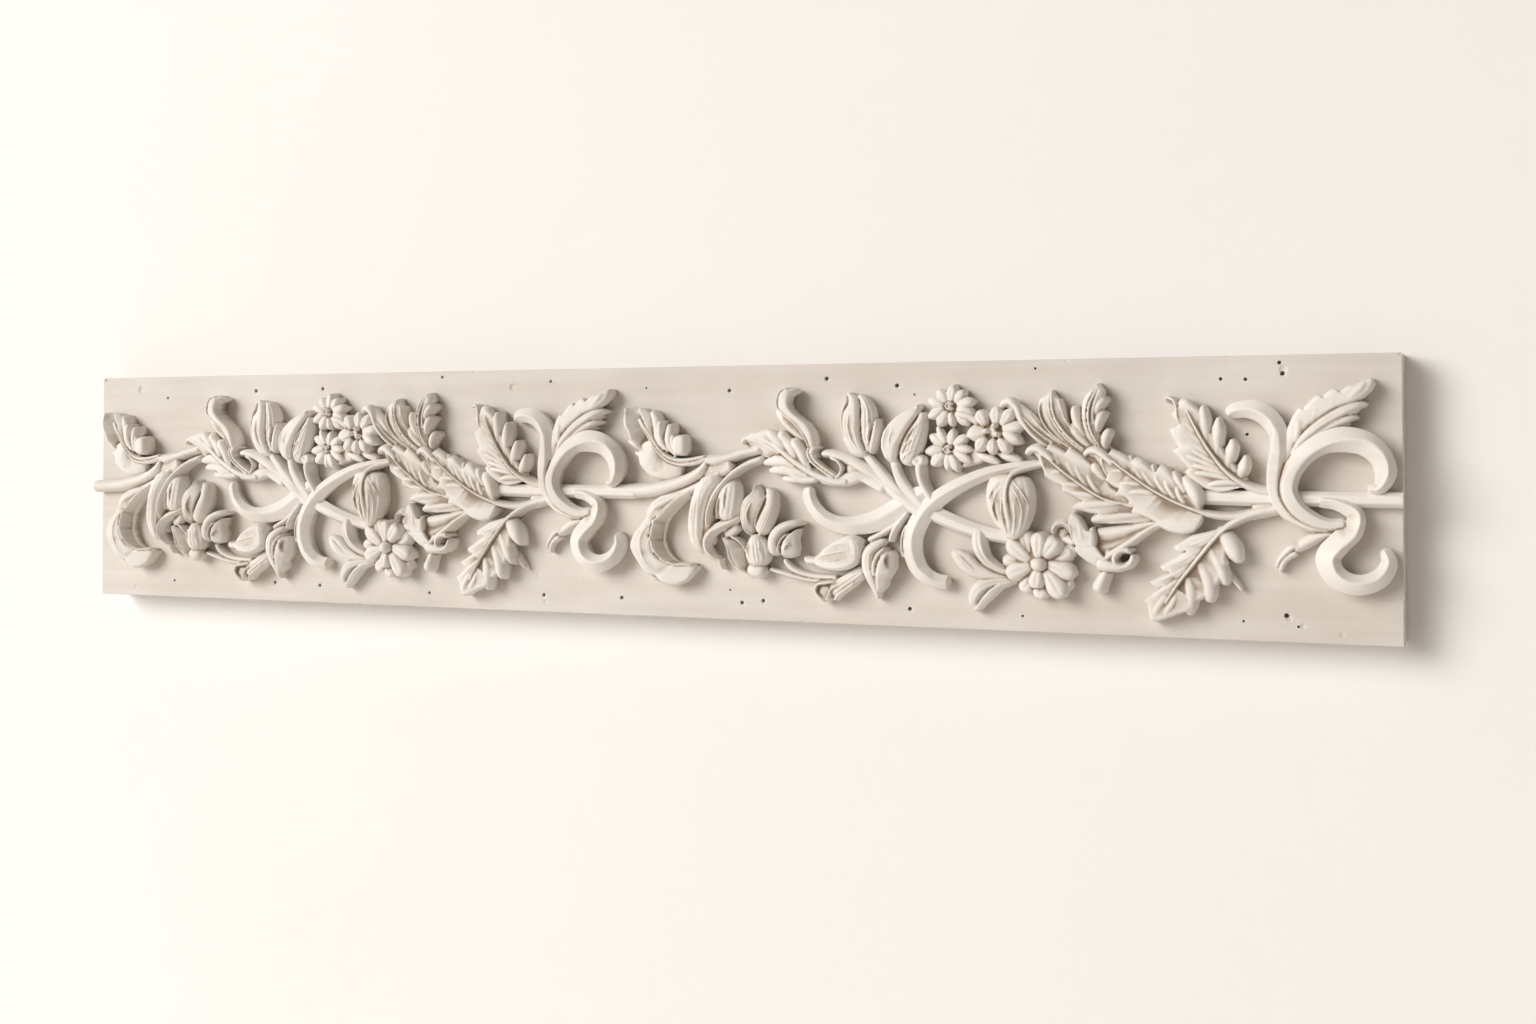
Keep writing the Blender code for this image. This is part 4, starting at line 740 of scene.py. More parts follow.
def hanging_bud():
    """The heart-shaped bud under the arc, finely veined, its stalk lying down its middle."""
    return [
        (veined(9, 0.04), [(865.5, 117, 8, 12), (865.5, 114.5, 26, 16), (865.5, 110.5, 33, 18.5),
                           (866, 103, 37, 20), (866.5, 96, 37.5, 20), (867.3, 89.5, 35.5, 20),
                           (868, 81.5, 29, 19.5), (868.3, 75, 21, 18.5), (867.5, 69.5, 13, 16),
                           (866.8, 66, 7.5, 13)]),
        (rod, [(861, 112, 1.6, 18.2), (854.5, 105, 2, 19), (850.5, 97, 1.6, 17.6)]),
        (rod, [(861, 108, 1.8, 19.5), (856, 99, 2.2, 19.8), (854.5, 90, 2.2, 19.6), (857.5, 81, 1.8, 18.6)]),
        (rod, [(861.5, 100, 1.8, 20.4), (861, 90, 2.4, 20.9), (862.5, 81, 2.4, 20.6), (865, 72, 2, 18)]),
        (rod, [(868.5, 112, 1.6, 19), (876, 103.5, 2, 19.8), (881, 94, 1.8, 18.4)]),
        (rod, [(868.5, 108, 1.8, 20), (874, 98.5, 2.2, 20.4), (876.5, 89, 2.2, 20), (875, 79, 1.8, 18.4)]),
        (rod, [(870.5, 96, 1.8, 20.6), (871.5, 86, 2.2, 20.8), (870.5, 77, 2, 19.6), (868.5, 70, 1.6, 17)]),
        (lobe, [(893, 124, 5, 13), (884, 122.3, 5.4, 15), (876, 120, 5.6, 17), (868.5, 115.5, 5.6, 20),
                (865.3, 108, 5.4, 21.3), (864.3, 98, 5.8, 21.7), (865.5, 88.5, 6.6, 21.7),
                (867, 80, 6.4, 20.5), (866, 73, 4, 17.5)]),
    ]


def low_sprigs():
    """Three small leaves that run out to the left from the foot of the daisy."""
    return [
        # curled leaf by the branch
        (veined(3, 0.07), [(841.7, 76, 5, 12), (842, 72, 10.5, 15.5), (842.5, 67, 12.5, 17.3),
                           (844, 60.4, 12, 17.8), (847.5, 53.8, 10, 17), (854, 48.3, 8, 15),
                           (861.5, 44.6, 6.5, 12.5), (868, 42.5, 5, 10)]),
        # sprig with a blunt tip
        (ground, [(820, 58.8, 820, 55, 10), (823, 60.5, 822.5, 51.5, 13.5), (829, 60.3, 828, 45, 14.5),
                  (835, 57, 834.5, 40.5, 14.5), (842, 50, 843, 38.3, 13.5), (853, 44.5, 854, 37.3, 12),
                  (868, 42, 868, 36.8, 9.5)]),
        (rod, [(821, 57.5, 3, 12.5), (826.5, 56, 3.4, 15.5), (832.5, 51, 3.4, 16), (839, 45, 2.6, 14.5)]),
        # split leaf by the lower edge
        (veined(3, 0.05), [(876, 38.5, 4, 8), (864, 37.5, 7, 11), (852, 36, 9, 14), (842.5, 31, 12, 16.5),
                           (838.3, 24, 10, 15), (838, 17.5, 6, 11)]),
        (tilted, [(868, 37.5, 868, 35, 9), (857, 35.5, 860, 31.5, 14), (850, 31, 854, 25.5, 15.5),
                  (844.5, 25, 848.5, 20.5, 14.5), (840, 18.5, 843.5, 15.5, 13),
                  (836.5, 14.8, 838.5, 13.5, 10)]),
    ]


def fronds():
    """Three plumes that rise behind the great leaves, with fingers between them."""
    return [
        # left plume, hooked over at its tip
        (fluted(3, 0.04), [(859, 166.5, 858.5, 164.5, 10), (863, 169.5, 862, 165, 14),
                           (868, 169, 866.5, 163.5, 15), (875, 167, 870, 157, 15.5),
                           (882, 161.5, 874, 151, 15.5), (888, 155, 881, 144.5, 15),
                           (894, 149, 889, 139, 14), (902, 142, 897, 135, 13), (910, 135, 905, 130, 12)]),
        (lobe, [(858.3, 163.3, 3.5, 12), (861, 167.3, 6, 15.5), (866, 169, 7.5, 17.5), (871.5, 164.5, 7, 18),
                (875, 156.5, 6, 18), (880, 148.5, 5, 17.5), (888, 140.5, 4, 16), (898, 134, 2.6, 13)]),
        (rod, [(873, 163.5, 2, 15), (879, 155, 2.4, 16.8), (888, 146, 2.4, 16.5), (899, 138, 2.2, 14.5)]),
        (rod, [(881, 160, 2, 15), (888, 151.5, 2.4, 16.2), (897, 143, 2.2, 15), (905, 137, 2, 13)]),
        # middle plume
        (fluted(3, 0.04), [(897, 178.5, 896, 178, 10), (894, 174.5, 899, 174.5, 15),
                           (888, 170.5, 904, 169.5, 16.5), (887, 164, 907, 163, 17),
                           (888, 158, 909, 155.5, 17), (891.5, 150, 911, 149, 16.5),
                           (898, 142, 916, 142.5, 15.5), (908, 134.5, 921, 136.5, 13.5),
                           (916, 129, 926, 132, 12)]),
        (rod, [(890.5, 170, 2.4, 16), (889, 163.5, 2.8, 18.5), (890.5, 156, 2.8, 18.8),
               (895.5, 148, 2.8, 18.3), (902.5, 141, 2.6, 17), (911, 134.5, 2.2, 14)]),
        (double_rib, [(896.5, 177, 3, 14), (897, 170, 4.2, 18.5), (897.5, 163, 4.6, 19.5),
                      (900, 155.5, 4.6, 19.5), (905, 147.5, 4.4, 19), (912, 140, 4, 17.5),
                      (921, 133, 3.4, 14.5)]),
        (rod, [(902, 171.5, 2.2, 15.5), (905, 163, 2.6, 18), (908.5, 154, 2.4, 17.5), (914, 146, 2.2, 16.5)]),
        # fingers between them
        (lobe, [(926, 135, 5, 12), (919, 141, 7, 15), (913.5, 148, 7.5, 16.5), (910.5, 153.5, 5.5, 14)]),
        (lobe, [(924, 139, 4, 12), (918, 148, 6.5, 15), (914.5, 157, 7.5, 16.5), (913.5, 163.5, 6, 15),
                (913.5, 166.5, 4, 12)]),
        # right plume with three fingers
        (fluted(3, 0.04), [(931, 182.5, 930, 182.5, 10), (927, 178, 934.5, 179, 15),
                           (922, 173.5, 936.5, 175.5, 17), (919.5, 168, 934.5, 169, 17.5),
                           (918.8, 160, 931.5, 161.5, 17.5), (920, 151, 930.5, 153, 17.5),
                           (922.5, 142.5, 932.5, 144, 16.5), (927, 135.5, 936, 136, 14),
                           (931, 131, 938, 131, 12)]),
        (double_rib, [(931, 181.5, 2.6, 14), (928.5, 175, 4, 18.5), (925, 167.5, 4.6, 20),
                      (923.7, 159, 4.6, 20.2), (924.7, 150, 4.6, 20), (928, 141.5, 4.2, 18.5),
                      (933, 134, 3.4, 15)]),
        (rod, [(933.5, 178, 2.4, 16), (930.5, 170.5, 2.4, 18), (928, 161, 2.2, 18), (928.5, 151, 2, 17.5)]),
        (lobe, [(929.5, 156, 4, 15), (930.5, 163, 7, 17.5), (934, 168.5, 8, 17), (937.5, 172, 6.5, 14)]),
        (lobe, [(930, 145, 4, 15), (931, 152.5, 7, 17.5), (933.5, 158.5, 8, 17), (937, 161.5, 6, 14)]),
        (lobe, [(936.5, 132, 4, 13), (935.5, 139, 7, 16), (937.5, 145, 8, 16.5), (940.5, 149, 6, 13.5)]),
    ]


def great_leaves():
    """The two broad leaves: serrated round a smooth ground, each with one sharp rib and a hooked tip."""
    back_rib = [(975, 88, 3.4, 15), (952, 94.5, 3.4, 17), (935, 99, 3.6, 18.5), (925, 104.5, 3.6, 19),
                (915, 111.5, 3.6, 19), (905, 119, 3.6, 19), (898, 125, 3.4, 18.5), (892, 130, 3, 17.5)]
    front_rib = [(1040, 88.5, 7, 14), (1022, 87.3, 6.5, 15), (1008, 88.8, 6, 17), (998, 92, 5, 18.5),
                 (988, 96, 4.2, 19.5), (978, 101, 3.8, 20), (968, 106.8, 3.6, 20.3), (958, 113.8, 3.6, 20.3),
                 (948, 121, 3.6, 20), (940, 127.5, 3.6, 19), (935, 131, 3, 17)]
    forms = [
        (ground, [(879, 133.5, 878, 129.5, 11), (884, 137, 882.5, 131.5, 15), (890, 137, 887, 127.5, 16.5),
                  (893.5, 134.5, 889.5, 121.5, 16.5), (896, 139, 891.5, 117, 16),
                  (902.5, 136, 891.5, 114, 16), (908, 133, 899, 109, 16), (911, 136.5, 905, 106.5, 16),
                  (920, 130, 904.5, 102.5, 16), (931, 121, 912.5, 100, 15.5), (938, 114.5, 919.5, 96, 15.5),
                  (942, 107, 911.5, 91.5, 15.8), (950, 102, 924, 88, 16), (957, 98, 930, 87.5, 16),
                  (962, 94, 925, 83, 15.6), (968, 90, 938, 80.5, 15.3), (975, 87, 955, 81.5, 14.5),
                  (980, 86, 968, 83, 13)]),
        (ground, [(922, 131, 920.5, 128.5, 12), (926, 134, 924, 128.5, 16), (931, 135, 928.5, 127.5, 17.5),
                  (936, 133.5, 931, 124.5, 17.5), (940, 129.5, 933.5, 120, 17.5),
                  (940.5, 134.5, 935, 117, 17.5), (945.5, 133, 938.5, 115, 17.5),
                  (951.5, 130, 936, 111, 17.5), (957.5, 124.8, 941.5, 107, 17), (957.5, 129.5, 946, 105, 17),
                  (963, 127.5, 943, 100.5, 17.5), (969, 121.5, 950, 98.5, 17), (973.5, 117.5, 952.5, 95, 17),
                  (974.5, 121, 951, 93.5, 17), (976.5, 124.5, 955.5, 92, 17), (981, 121.5, 954, 88, 17),
                  (985.5, 115, 961, 86.5, 17), (988, 111.5, 966, 84.5, 16.5), (992, 105, 971, 82, 16.5),
                  (999, 103, 974, 79, 16.5), (1003.5, 98, 980, 76, 16.5), (1004.5, 93, 989, 74, 16),
                  (1005, 88, 997, 75.5, 15.5), (1004, 84, 1002, 79.5, 13)]),
        (rod, back_rib),
        (rod, front_rib),
        # rolled edges of the hooked tips
        (lobe, [(877.5, 129.5, 3.5, 14), (880.8, 133.3, 6, 17.5), (886.5, 134.6, 8, 19),
                (893, 130.8, 8, 19.2), (900, 124.5, 5, 18.5)]),
        (rod, [(889, 131.5, 3, 18), (891, 124, 2.8, 17.5), (893.5, 117, 2.4, 16)]),
        (lobe, [(920.5, 128.8, 3.5, 15), (923.8, 132.2, 6, 18.5), (929.5, 133.2, 8, 20),
                (936, 129.3, 8, 20.2), (943, 123, 5, 19.5)]),
        (rod, [(933.5, 128.5, 3, 19), (935.5, 120.5, 2.8, 18.5), (938.5, 114, 2.4, 17)]),
        # a bud between the two tips
        (lobe, [(937, 111, 5, 15.5), (932.5, 116.5, 7.5, 17.5), (928.7, 121.5, 8, 17.8),
                (927.5, 125.3, 4, 15)]),
        # finger and rounded shoulder
        (lobe, [(993, 102, 5, 16), (989.5, 109, 6, 18), (986, 115, 6, 17), (983.5, 119.5, 3, 13)]),
        (lobe, [(1001, 93, 8, 16), (1000.5, 99.5, 11, 19), (997.5, 106, 12, 19.5), (993, 112, 8.5, 17.5),
                (990, 115.5, 3.5, 13)]),
    ]
    forms += swells_along(front_rib, ((0.72, 941.5, 131.5), (0.58, 953, 131), (0.50, 959, 127),
                                      (0.44, 969, 124.5), (0.40, 977.5, 121), (0.36, 986, 113),
                                      (0.78, 935, 116.5), (0.62, 940, 108.5), (0.52, 945, 101.5)), 17.9)
    forms += swells_along(back_rib, ((0.74, 897, 136.5), (0.56, 906, 134), (0.44, 912, 133), (0.34, 921, 124),
                                     (0.76, 892.5, 115), (0.56, 901, 108.5), (0.40, 907.5, 102.5)), 16.6)
    forms += [
        # round-ended fingers of the back leaf's lower edge
        (lobe, [(911, 91.3, 4, 13), (917, 92.8, 8, 16), (926, 94.5, 9.5, 17), (938, 95.5, 9, 17),
                (949, 96, 5, 16.3)]),
        (lobe, [(924.5, 82.8, 4.5, 13), (930, 84.2, 7.5, 16), (940, 85.6, 8.5, 17), (952, 87, 8, 17),
                (964, 88.5, 4.5, 15.5)]),
        # bed under the two leaves and the plumes
        (pad, [(884, 131, 8, 8), (900, 130, 26, 11), (915, 126, 34, 12.5), (930, 118, 40, 13),
               (948, 107, 34, 13), (966, 99, 26, 12), (985, 93, 20, 11)]),
        (pad, [(948, 83, 10, 10), (958, 86, 12, 12), (972, 88, 10, 12)]),
        (pad, [(953, 79, 8, 11), (962, 81.5, 11, 13), (973, 83, 8, 12)]),
    ]
    return forms


def lily():
    """A curled blossom from the side: a cup and curled petals on a hooked tube with an eye, and a stub."""
    eye = [(949 + 6 * math.cos(turn) - 2.9 * math.sin(turn), 56.5 + 3.5 * math.cos(turn) + 5 * math.sin(turn),
            6.4, 18)
           for turn in np.linspace(0, 2 * math.pi, 13)]
    return [
        # tube that widens to the hooked base, with an eye through it
        (rod, [(978, 82.5, 4, 12), (970, 79, 5, 14.5), (963, 74.8, 6, 16.5), (955.5, 69.3, 7, 17.6),
               (948, 64.3, 7.5, 18), (941, 59.8, 7.5, 18), (935, 55, 7, 17.5)]),
        (rod, eye),
        (lobe, [(928, 53, 10, 17.5), (936, 51.8, 12, 18.3), (943, 50.5, 9, 18.3), (950, 49.3, 6.5, 17.5)]),
        (pad, [(934, 58, 10, 16), (940, 58.5, 9, 16.5), (944, 62.5, 6, 16)]),
        (lobe, [(975, 85, 3.5, 15), (978, 84, 4, 16), (981, 82, 3, 13)]),
        (pad, [(926, 70, 10, 9), (938, 70, 16, 10), (950, 75, 14, 10), (962, 79, 8, 9)]),
        # the inside of the cup, which spreads behind it
        (fluted(2, 0.1), [(980, 86.5, 979, 82.5, 13), (970, 84, 967, 76.5, 14), (960, 82, 957, 70, 14.5),
                          (950, 80.5, 948, 63.5, 14.5), (940, 79, 939, 58.5, 14), (931, 77.5, 930, 56, 13.5),
                          (926, 76, 926, 56, 12.5)]),
        # calyx
        (tilted, [(913, 62.5, 913.5, 60.3, 15), (916, 65.3, 917, 57, 18.5), (922, 65.8, 922, 53, 19.5),
                  (930, 65.3, 928, 50, 19.8), (934, 59.5, 934, 48.5, 19.3), (939, 55, 940, 48, 18)]),
        # the bell above it: two petals, and one that curls over to the left
        (ground, [(916, 60, 930, 60, 17), (913.5, 66, 930.8, 66, 18.3), (911, 71, 931, 71, 18.6),
                  (909.5, 75, 930, 75, 18.4), (909, 79, 924.5, 75.5, 18.2), (909, 83, 922, 80, 18),
                  (909.8, 86.5, 918.5, 85.5, 17.3), (911.5, 89, 913.5, 89, 14)]),
        (lobe, [(925.5, 62, 8, 17), (926.3, 68, 9, 18.8), (926.6, 74, 7, 18), (926.4, 79, 2.6, 14)]),
        (lobe, [(920.5, 64, 6, 17), (919.5, 71, 7, 19), (918, 78, 6.5, 18.8), (915, 84, 4.5, 17.6)]),
        (rod, [(914.5, 65, 2.2, 17.5), (912, 73, 2.4, 19.2), (911, 80, 2.2, 18.8), (912, 86, 2, 17.3)]),
        (fold, [(914, 70, 6, 17), (912, 77, 8, 19), (906.5, 81, 7, 19.5), (900.5, 79.3, 5.5, 18.5),
                (898.3, 75, 4.5, 17), (898.8, 71.5, 3, 14)]),
        (pad, [(899, 73, 9, 10), (904, 74, 11, 11.5), (909, 72, 9, 11)]),
        (pad, [(903, 62, 9, 10), (909, 61, 11, 12), (915, 60, 9, 12)]),
        (lobe, [(902, 67, 4, 10), (908, 68.5, 7.5, 13.5), (914.5, 66, 6, 15)]),
        # cut stub
        (rod, [(937, 50, 9, 14), (934.5, 43.5, 10, 15), (932, 37.5, 11.5, 15.5), (930.3, 33, 14.5, 15.5),
               (929.8, 30, 15.5, 14.5)]),
    ]


def upright_acanthus():
    """The leaf that rises to the left of the knot: teeth on its left, round fingers on its right."""
    rib = [(1054, 103, 8, 14), (1042, 106, 7.5, 16), (1032, 110.3, 6.5, 18), (1024, 115.8, 5.5, 19.5),
           (1018, 121.8, 4.6, 20), (1013, 128.3, 4.2, 20.3), (1008, 135.5, 4, 20.3), (1003.5, 143, 3.8, 20.3),
           (999.5, 150.5, 3.6, 20), (996, 157.5, 3.2, 19), (993.5, 162.5, 2.6, 17.5)]
    forms = [
        (ground, [(986, 167, 990, 171.5, 13), (986.5, 162, 995.5, 169, 16), (982, 158.5, 1002.5, 162, 16.5),
                  (986, 153.5, 1007, 155, 17), (986, 150.5, 1009.5, 150, 17), (981, 148.5, 1011, 146.5, 17),
                  (983, 142.5, 1015, 141.5, 17), (987, 135.3, 1019, 135.5, 17), (983, 132.8, 1021, 131, 16.5),
                  (989, 125.5, 1026, 125.5, 16), (994, 120.5, 1029, 121, 15.5), (991, 118, 1032, 117.5, 15),
                  (997, 111.5, 1035, 113.5, 14.5), (1005, 106.5, 1036, 110, 14), (1014, 104, 1035, 108, 13.5),
                  (1023, 105, 1031, 109, 12.5)]),
        (rod, rib),
        # hooked tip
        (rod, [(977, 168, 2, 12), (979.5, 170.5, 3, 14), (984, 169, 3.4, 16), (986.5, 164, 3.2, 17.5),
               (987, 158, 2.8, 18), (989, 151, 2.4, 18)]),
        # rounded fingers on the right
        (lobe, [(1010, 129, 9, 16.2), (1007.8, 138, 8.5, 17.2), (1006.3, 148, 10.4, 17.9),
                (1005.5, 156, 9.8, 18.2), (1005, 162, 6.8, 17), (1005, 166, 2.6, 13)]),
        (lobe, [(1017, 121, 9, 16), (1014.5, 130, 8.8, 16.8), (1014.4, 141, 10.6, 17.7),
                (1015.2, 149, 9.6, 17.8), (1015.3, 154, 5.8, 16.5), (1015.2, 157.5, 2.6, 13)]),
        (lobe, [(1024, 114.5, 9, 15.2), (1021.5, 122.5, 9, 16.2), (1023.6, 131, 10.4, 17.2),
                (1025, 137, 8.4, 17), (1024, 142.3, 2.8, 13)]),
        (lobe, [(1029, 111, 8, 14.5), (1029.5, 115.5, 8.8, 15.4), (1032.4, 121.8, 9.8, 16.4),
                (1033.5, 126.3, 7.4, 15.8), (1033.3, 131, 2.8, 12.5)]),
    ]
    forms += swells_along(rib, ((0.66, 984, 158), (0.52, 986.5, 152.5), (0.42, 982.5, 147.6),
                                (0.36, 988, 138), (0.31, 984.5, 132.6), (0.27, 991, 124), (0.23, 994, 117.7),
                                (0.2, 1005, 108)), 17.3)
    return forms


def flying_leaf():
    """The leaf that flies out over the knot to the upper right, with long blades along its lower side."""
    return [
        (ground, [(1058, 119, 1061.5, 119, 11), (1058, 128, 1063.5, 128, 13), (1059, 138, 1067.5, 138, 15),
                  (1061, 148, 1072, 145, 16), (1065, 157.5, 1077, 150, 17), (1069, 163, 1081, 153, 17.5),
                  (1071.5, 162, 1084, 155, 17.5), (1077, 168.5, 1089, 158.5, 18),
                  (1081.5, 172, 1093.5, 161, 18), (1084, 170, 1096, 162.3, 18), (1089, 174.5, 1101, 164, 18),
                  (1092.5, 176, 1104, 165, 18), (1095, 173.5, 1106, 166, 18), (1101, 177.5, 1112, 169, 17.5),
                  (1108, 179, 1117, 173.5, 16.5), (1113, 181.5, 1119.3, 178.5, 15),
                  (1116, 183.3, 1118, 182.5, 12)]),
        (petal, [(1063.5, 129, 3, 13), (1070, 139.5, 6, 16), (1080, 149, 8, 18), (1091, 156.3, 9, 19),
                 (1101, 161.5, 8.5, 18.5), (1109, 164.3, 6, 16), (1114.5, 165, 2.2, 12)]),
        (lobe, [(1097, 158, 4, 15), (1103, 159.5, 5, 16), (1109, 161, 2, 12)]),
        (petal, [(1066.5, 131, 2.6, 12), (1074.5, 140.5, 4, 14), (1085, 148, 6, 16), (1095, 152.8, 6.5, 17),
                 (1103, 155.3, 5.5, 15.5), (1109, 156, 2.2, 11.5)]),
        (lobe, [(1077, 142.5, 3, 11), (1088, 148.3, 4, 13), (1096, 150.5, 4, 13), (1103, 151, 2, 10)]),
    ] + lobes_along([(1061, 126, 3, 14), (1068, 142, 3, 17), (1078, 153, 3, 18), (1091, 162, 3, 19),
                     (1104, 169.5, 3, 19), (1115, 178, 3, 17)],
                    ((0.16, 1069.5, 161, 9, 17.4, 3), (0.36, 1081, 170, 9, 18.1, 3),
                     (0.54, 1093, 174.7, 9, 18.3, 3), (0.66, 1115, 181, 9, 18.6, 4)))


def hanging_acanthus():
    """The leaf that hangs to the lower left: teeth on its upper side, lobes on its lower side."""
    rib = [(1050, 92, 8, 13), (1040, 89.5, 7, 14), (1029, 85, 6.5, 16), (1020, 79, 6, 18),
           (1012, 71, 5.4, 19.5), (1004, 61, 5, 20.2), (997, 52, 4.6, 20.3), (990, 43, 4.2, 20),
           (983.5, 33.5, 3.6, 19.3), (978, 24.5, 2.6, 17.5)]
    forms = [
        (ground, [(1020, 80, 1026, 74, 14), (1009, 77, 1023, 68, 16), (997, 74, 1021.5, 62, 16.5),
                  (984, 66.5, 1021, 57, 17), (984.5, 63, 1022, 55, 17), (995, 64.5, 1020, 50, 17),
                  (988, 60.5, 1018.5, 46, 17), (974, 51.8, 1016.5, 41.5, 16.5), (976, 48.5, 1014, 38, 16.5),
                  (986.5, 51.5, 1011, 34.5, 16.5), (981, 48.3, 1008, 31.5, 16), (966.5, 40.5, 1004.5, 29, 16),
                  (969, 37.8, 1001.5, 27.5, 16), (980, 40, 1000.5, 28, 17), (975, 36, 999, 24.5, 17),
                  (962.5, 28, 996, 20, 16.5), (965, 25, 991.5, 19.5, 16.5), (966, 19, 984, 16.5, 16),
                  (966.5, 14, 976, 13.3, 14.5), (968, 11, 971, 11.5, 11)]),
        (rod, rib),
        # lobes of the lower side
        (lobe, [(991, 49, 10, 16.5), (994.5, 41, 12, 17.2), (996, 30, 12, 17.8), (995.3, 22.5, 9, 16),
                (994, 16.5, 4, 12)]),
        (lobe, [(999, 60, 11, 16.5), (1003.5, 51.5, 12, 17.4), (1008, 40.5, 13, 18.2), (1008.8, 32.5, 11, 17),
                (1007.8, 26, 5, 12.5)]),
        (lobe, [(1006, 70, 11, 16.5), (1011, 61, 11.5, 17.4), (1016.3, 51, 11.5, 18), (1019, 43.5, 9, 16.3),
                (1019.7, 38.3, 4, 12)]),
        (lobe, [(1012, 78, 11, 16), (1018, 73.5, 13, 17.5), (1024, 66, 15, 18.5), (1027.5, 59, 10.5, 16.8),
                (1028.7, 54, 5, 12.5)]),
        (rod, [(1019, 50, 4, 9), (1024, 43.5, 4.5, 9.5), (1028, 38.5, 4, 9), (1030.5, 35, 3, 7.5)]),
    ]
    forms += swells_along(rib, ((0.31, 985.5, 65), (0.34, 996, 64), (0.38, 976, 51), (0.45, 987, 51),
                                (0.50, 968, 39.8), (0.56, 980, 41), (0.64, 964, 28)), 17.4)
    forms += [
        (lobe, [(981, 33, 7, 17), (975, 25.5, 9, 18.2), (971, 18, 8, 16.5), (969, 12.5, 3, 12)]),
        (lobe, [(987, 34, 6, 17), (983.5, 26, 8, 18), (978, 18.5, 7, 16.5), (973, 13.5, 3, 12)]),
    ]
    return forms


def knot():
    """The ribbon knot: an upper hook, the great loop, and the lower hook that leaves the main stem."""
    return [
        (ridged((0, 0, 0), (0.25, -0.05, -0.05), (0.38, -0.6, 0.15), (0.5, -0.75, 0.45), (0.7, -0.65, 0.3),
                (1, -0.4, 0.3)),
         [(1020.5, 156.5, 6, 13), (1024, 160, 10.5, 15), (1033, 162, 12.5, 17.5), (1042.5, 160.5, 14.5, 19),
          (1050, 155, 14.5, 19), (1055, 146.5, 13.5, 19), (1055.8, 136, 12.5, 19), (1053.8, 124, 12, 18),
          (1052.5, 112, 11, 17), (1053.5, 101, 10, 15), (1060, 90.5, 9, 14), (1073, 82.5, 8, 13),
          (1090, 79, 7, 12)]),
        (ridged((0, 0, 0), (0.15, -0.35, -0.35), (0.25, -0.35, -0.35), (0.36, 0.1, 0.1), (0.45, 0.42, 0.42),
                (0.56, 0.1, 0.5), (0.66, -0.6, 0.5), (0.8, -0.7, 0.6), (1, -0.4, 0.4)),
         [(1112.5, 107, 6, 14), (1120, 107.5, 9, 17), (1125, 116, 14, 20), (1123, 127.5, 15.5, 21),
          (1113, 137.5, 17, 21.3), (1099, 140.8, 17.8, 21.3), (1084, 138.3, 16, 21.3), (1072, 129, 14, 21.3),
          (1064.3, 117, 13, 21.3), (1062.5, 106, 12, 21), (1067, 95, 12, 19.5), (1077, 86.5, 11, 17.5),
          (1090, 82.5, 9, 15.5), (1101, 84, 8, 14)]),
        (ridged((0, 0.3, 0.3), (0.2, 0.5, 0.5), (0.35, 0.5, 0.5), (0.5, 0.4, 0.4), (0.75, 0.13, 0.13),
                (1, 0, 0)),
         [(1080, 99, 9, 14), (1096, 96, 10, 16), (1106, 89, 12, 18), (1104, 79, 14, 19.5),
          (1095, 70, 16, 20.5), (1088, 60, 17, 20.5), (1091, 50, 16, 20.5), (1101, 43, 15, 20.5),
          (1113, 43, 14, 20.5), (1123, 49, 13, 19.5), (1127, 58, 11, 17.5), (1123.5, 67.5, 7, 14)]),
        (rod, [(1094, 77, 4, 10), (1086, 75.5, 6, 11), (1078, 72.5, 8.5, 12), (1071, 68.5, 8.5, 12),
               (1065, 64.5, 5.5, 12)]),
        (lobe, [(1069, 68, 3, 12), (1064, 66.5, 5, 13), (1059, 62, 5, 12.5), (1055, 57, 3.6, 11),
                (1053, 51.5, 2.6, 8)]),
        (lobe, [(1068, 63, 4, 11.5), (1063, 61, 5, 11.5), (1059, 57.5, 4.4, 10.5), (1056.5, 52, 3.4, 9),
                (1055.5, 48.5, 2, 7)]),
    ]


# ---- the pieces

def smooth_over(piece):
    select_only(piece)
    bpy.ops.object.shade_smooth_by_angle(angle=CREASE, keep_sharp_edges=False)


def cut_square(piece, x, side):
    """Cut off what runs past the end of the panel at x, and close the cut."""
    edit_all(piece)
    bpy.ops.mesh.bisect(plane_co=(x, 0, 0), plane_no=(side, 0, 0), use_fill=True, clear_outer=True)
    bpy.ops.object.mode_set(mode="OBJECT")


def copied_to_left(piece):
    """The same ornament in the left repeat, which was set out a little shorter."""
    select_only(piece)
    bpy.ops.object.duplicate()
    other = bpy.context.object
    shift = (LEFT_SHIFT + (LEFT_SCALE - 1.0) * PANEL_LENGTH / 2) * MM
    edit_all(other)
    bpy.ops.transform.resize(value=(LEFT_SCALE, 1, 1), center_override=(0, 0, 0))
    bpy.ops.transform.translate(value=(shift, 0, 0))
    bpy.ops.object.mode_set(mode="OBJECT")
    return other


# passes of smoothing after which the skin is compared with its smoothed self, for the painted shade
# and painted highlight, each with (its share in the tone, the gap in millimetres that counts in full)
PAINTED_SHADE_PASSES = {3: (0.4, 0.18), 12: (0.9, 0.5), 40: (1.6, 1.2)}


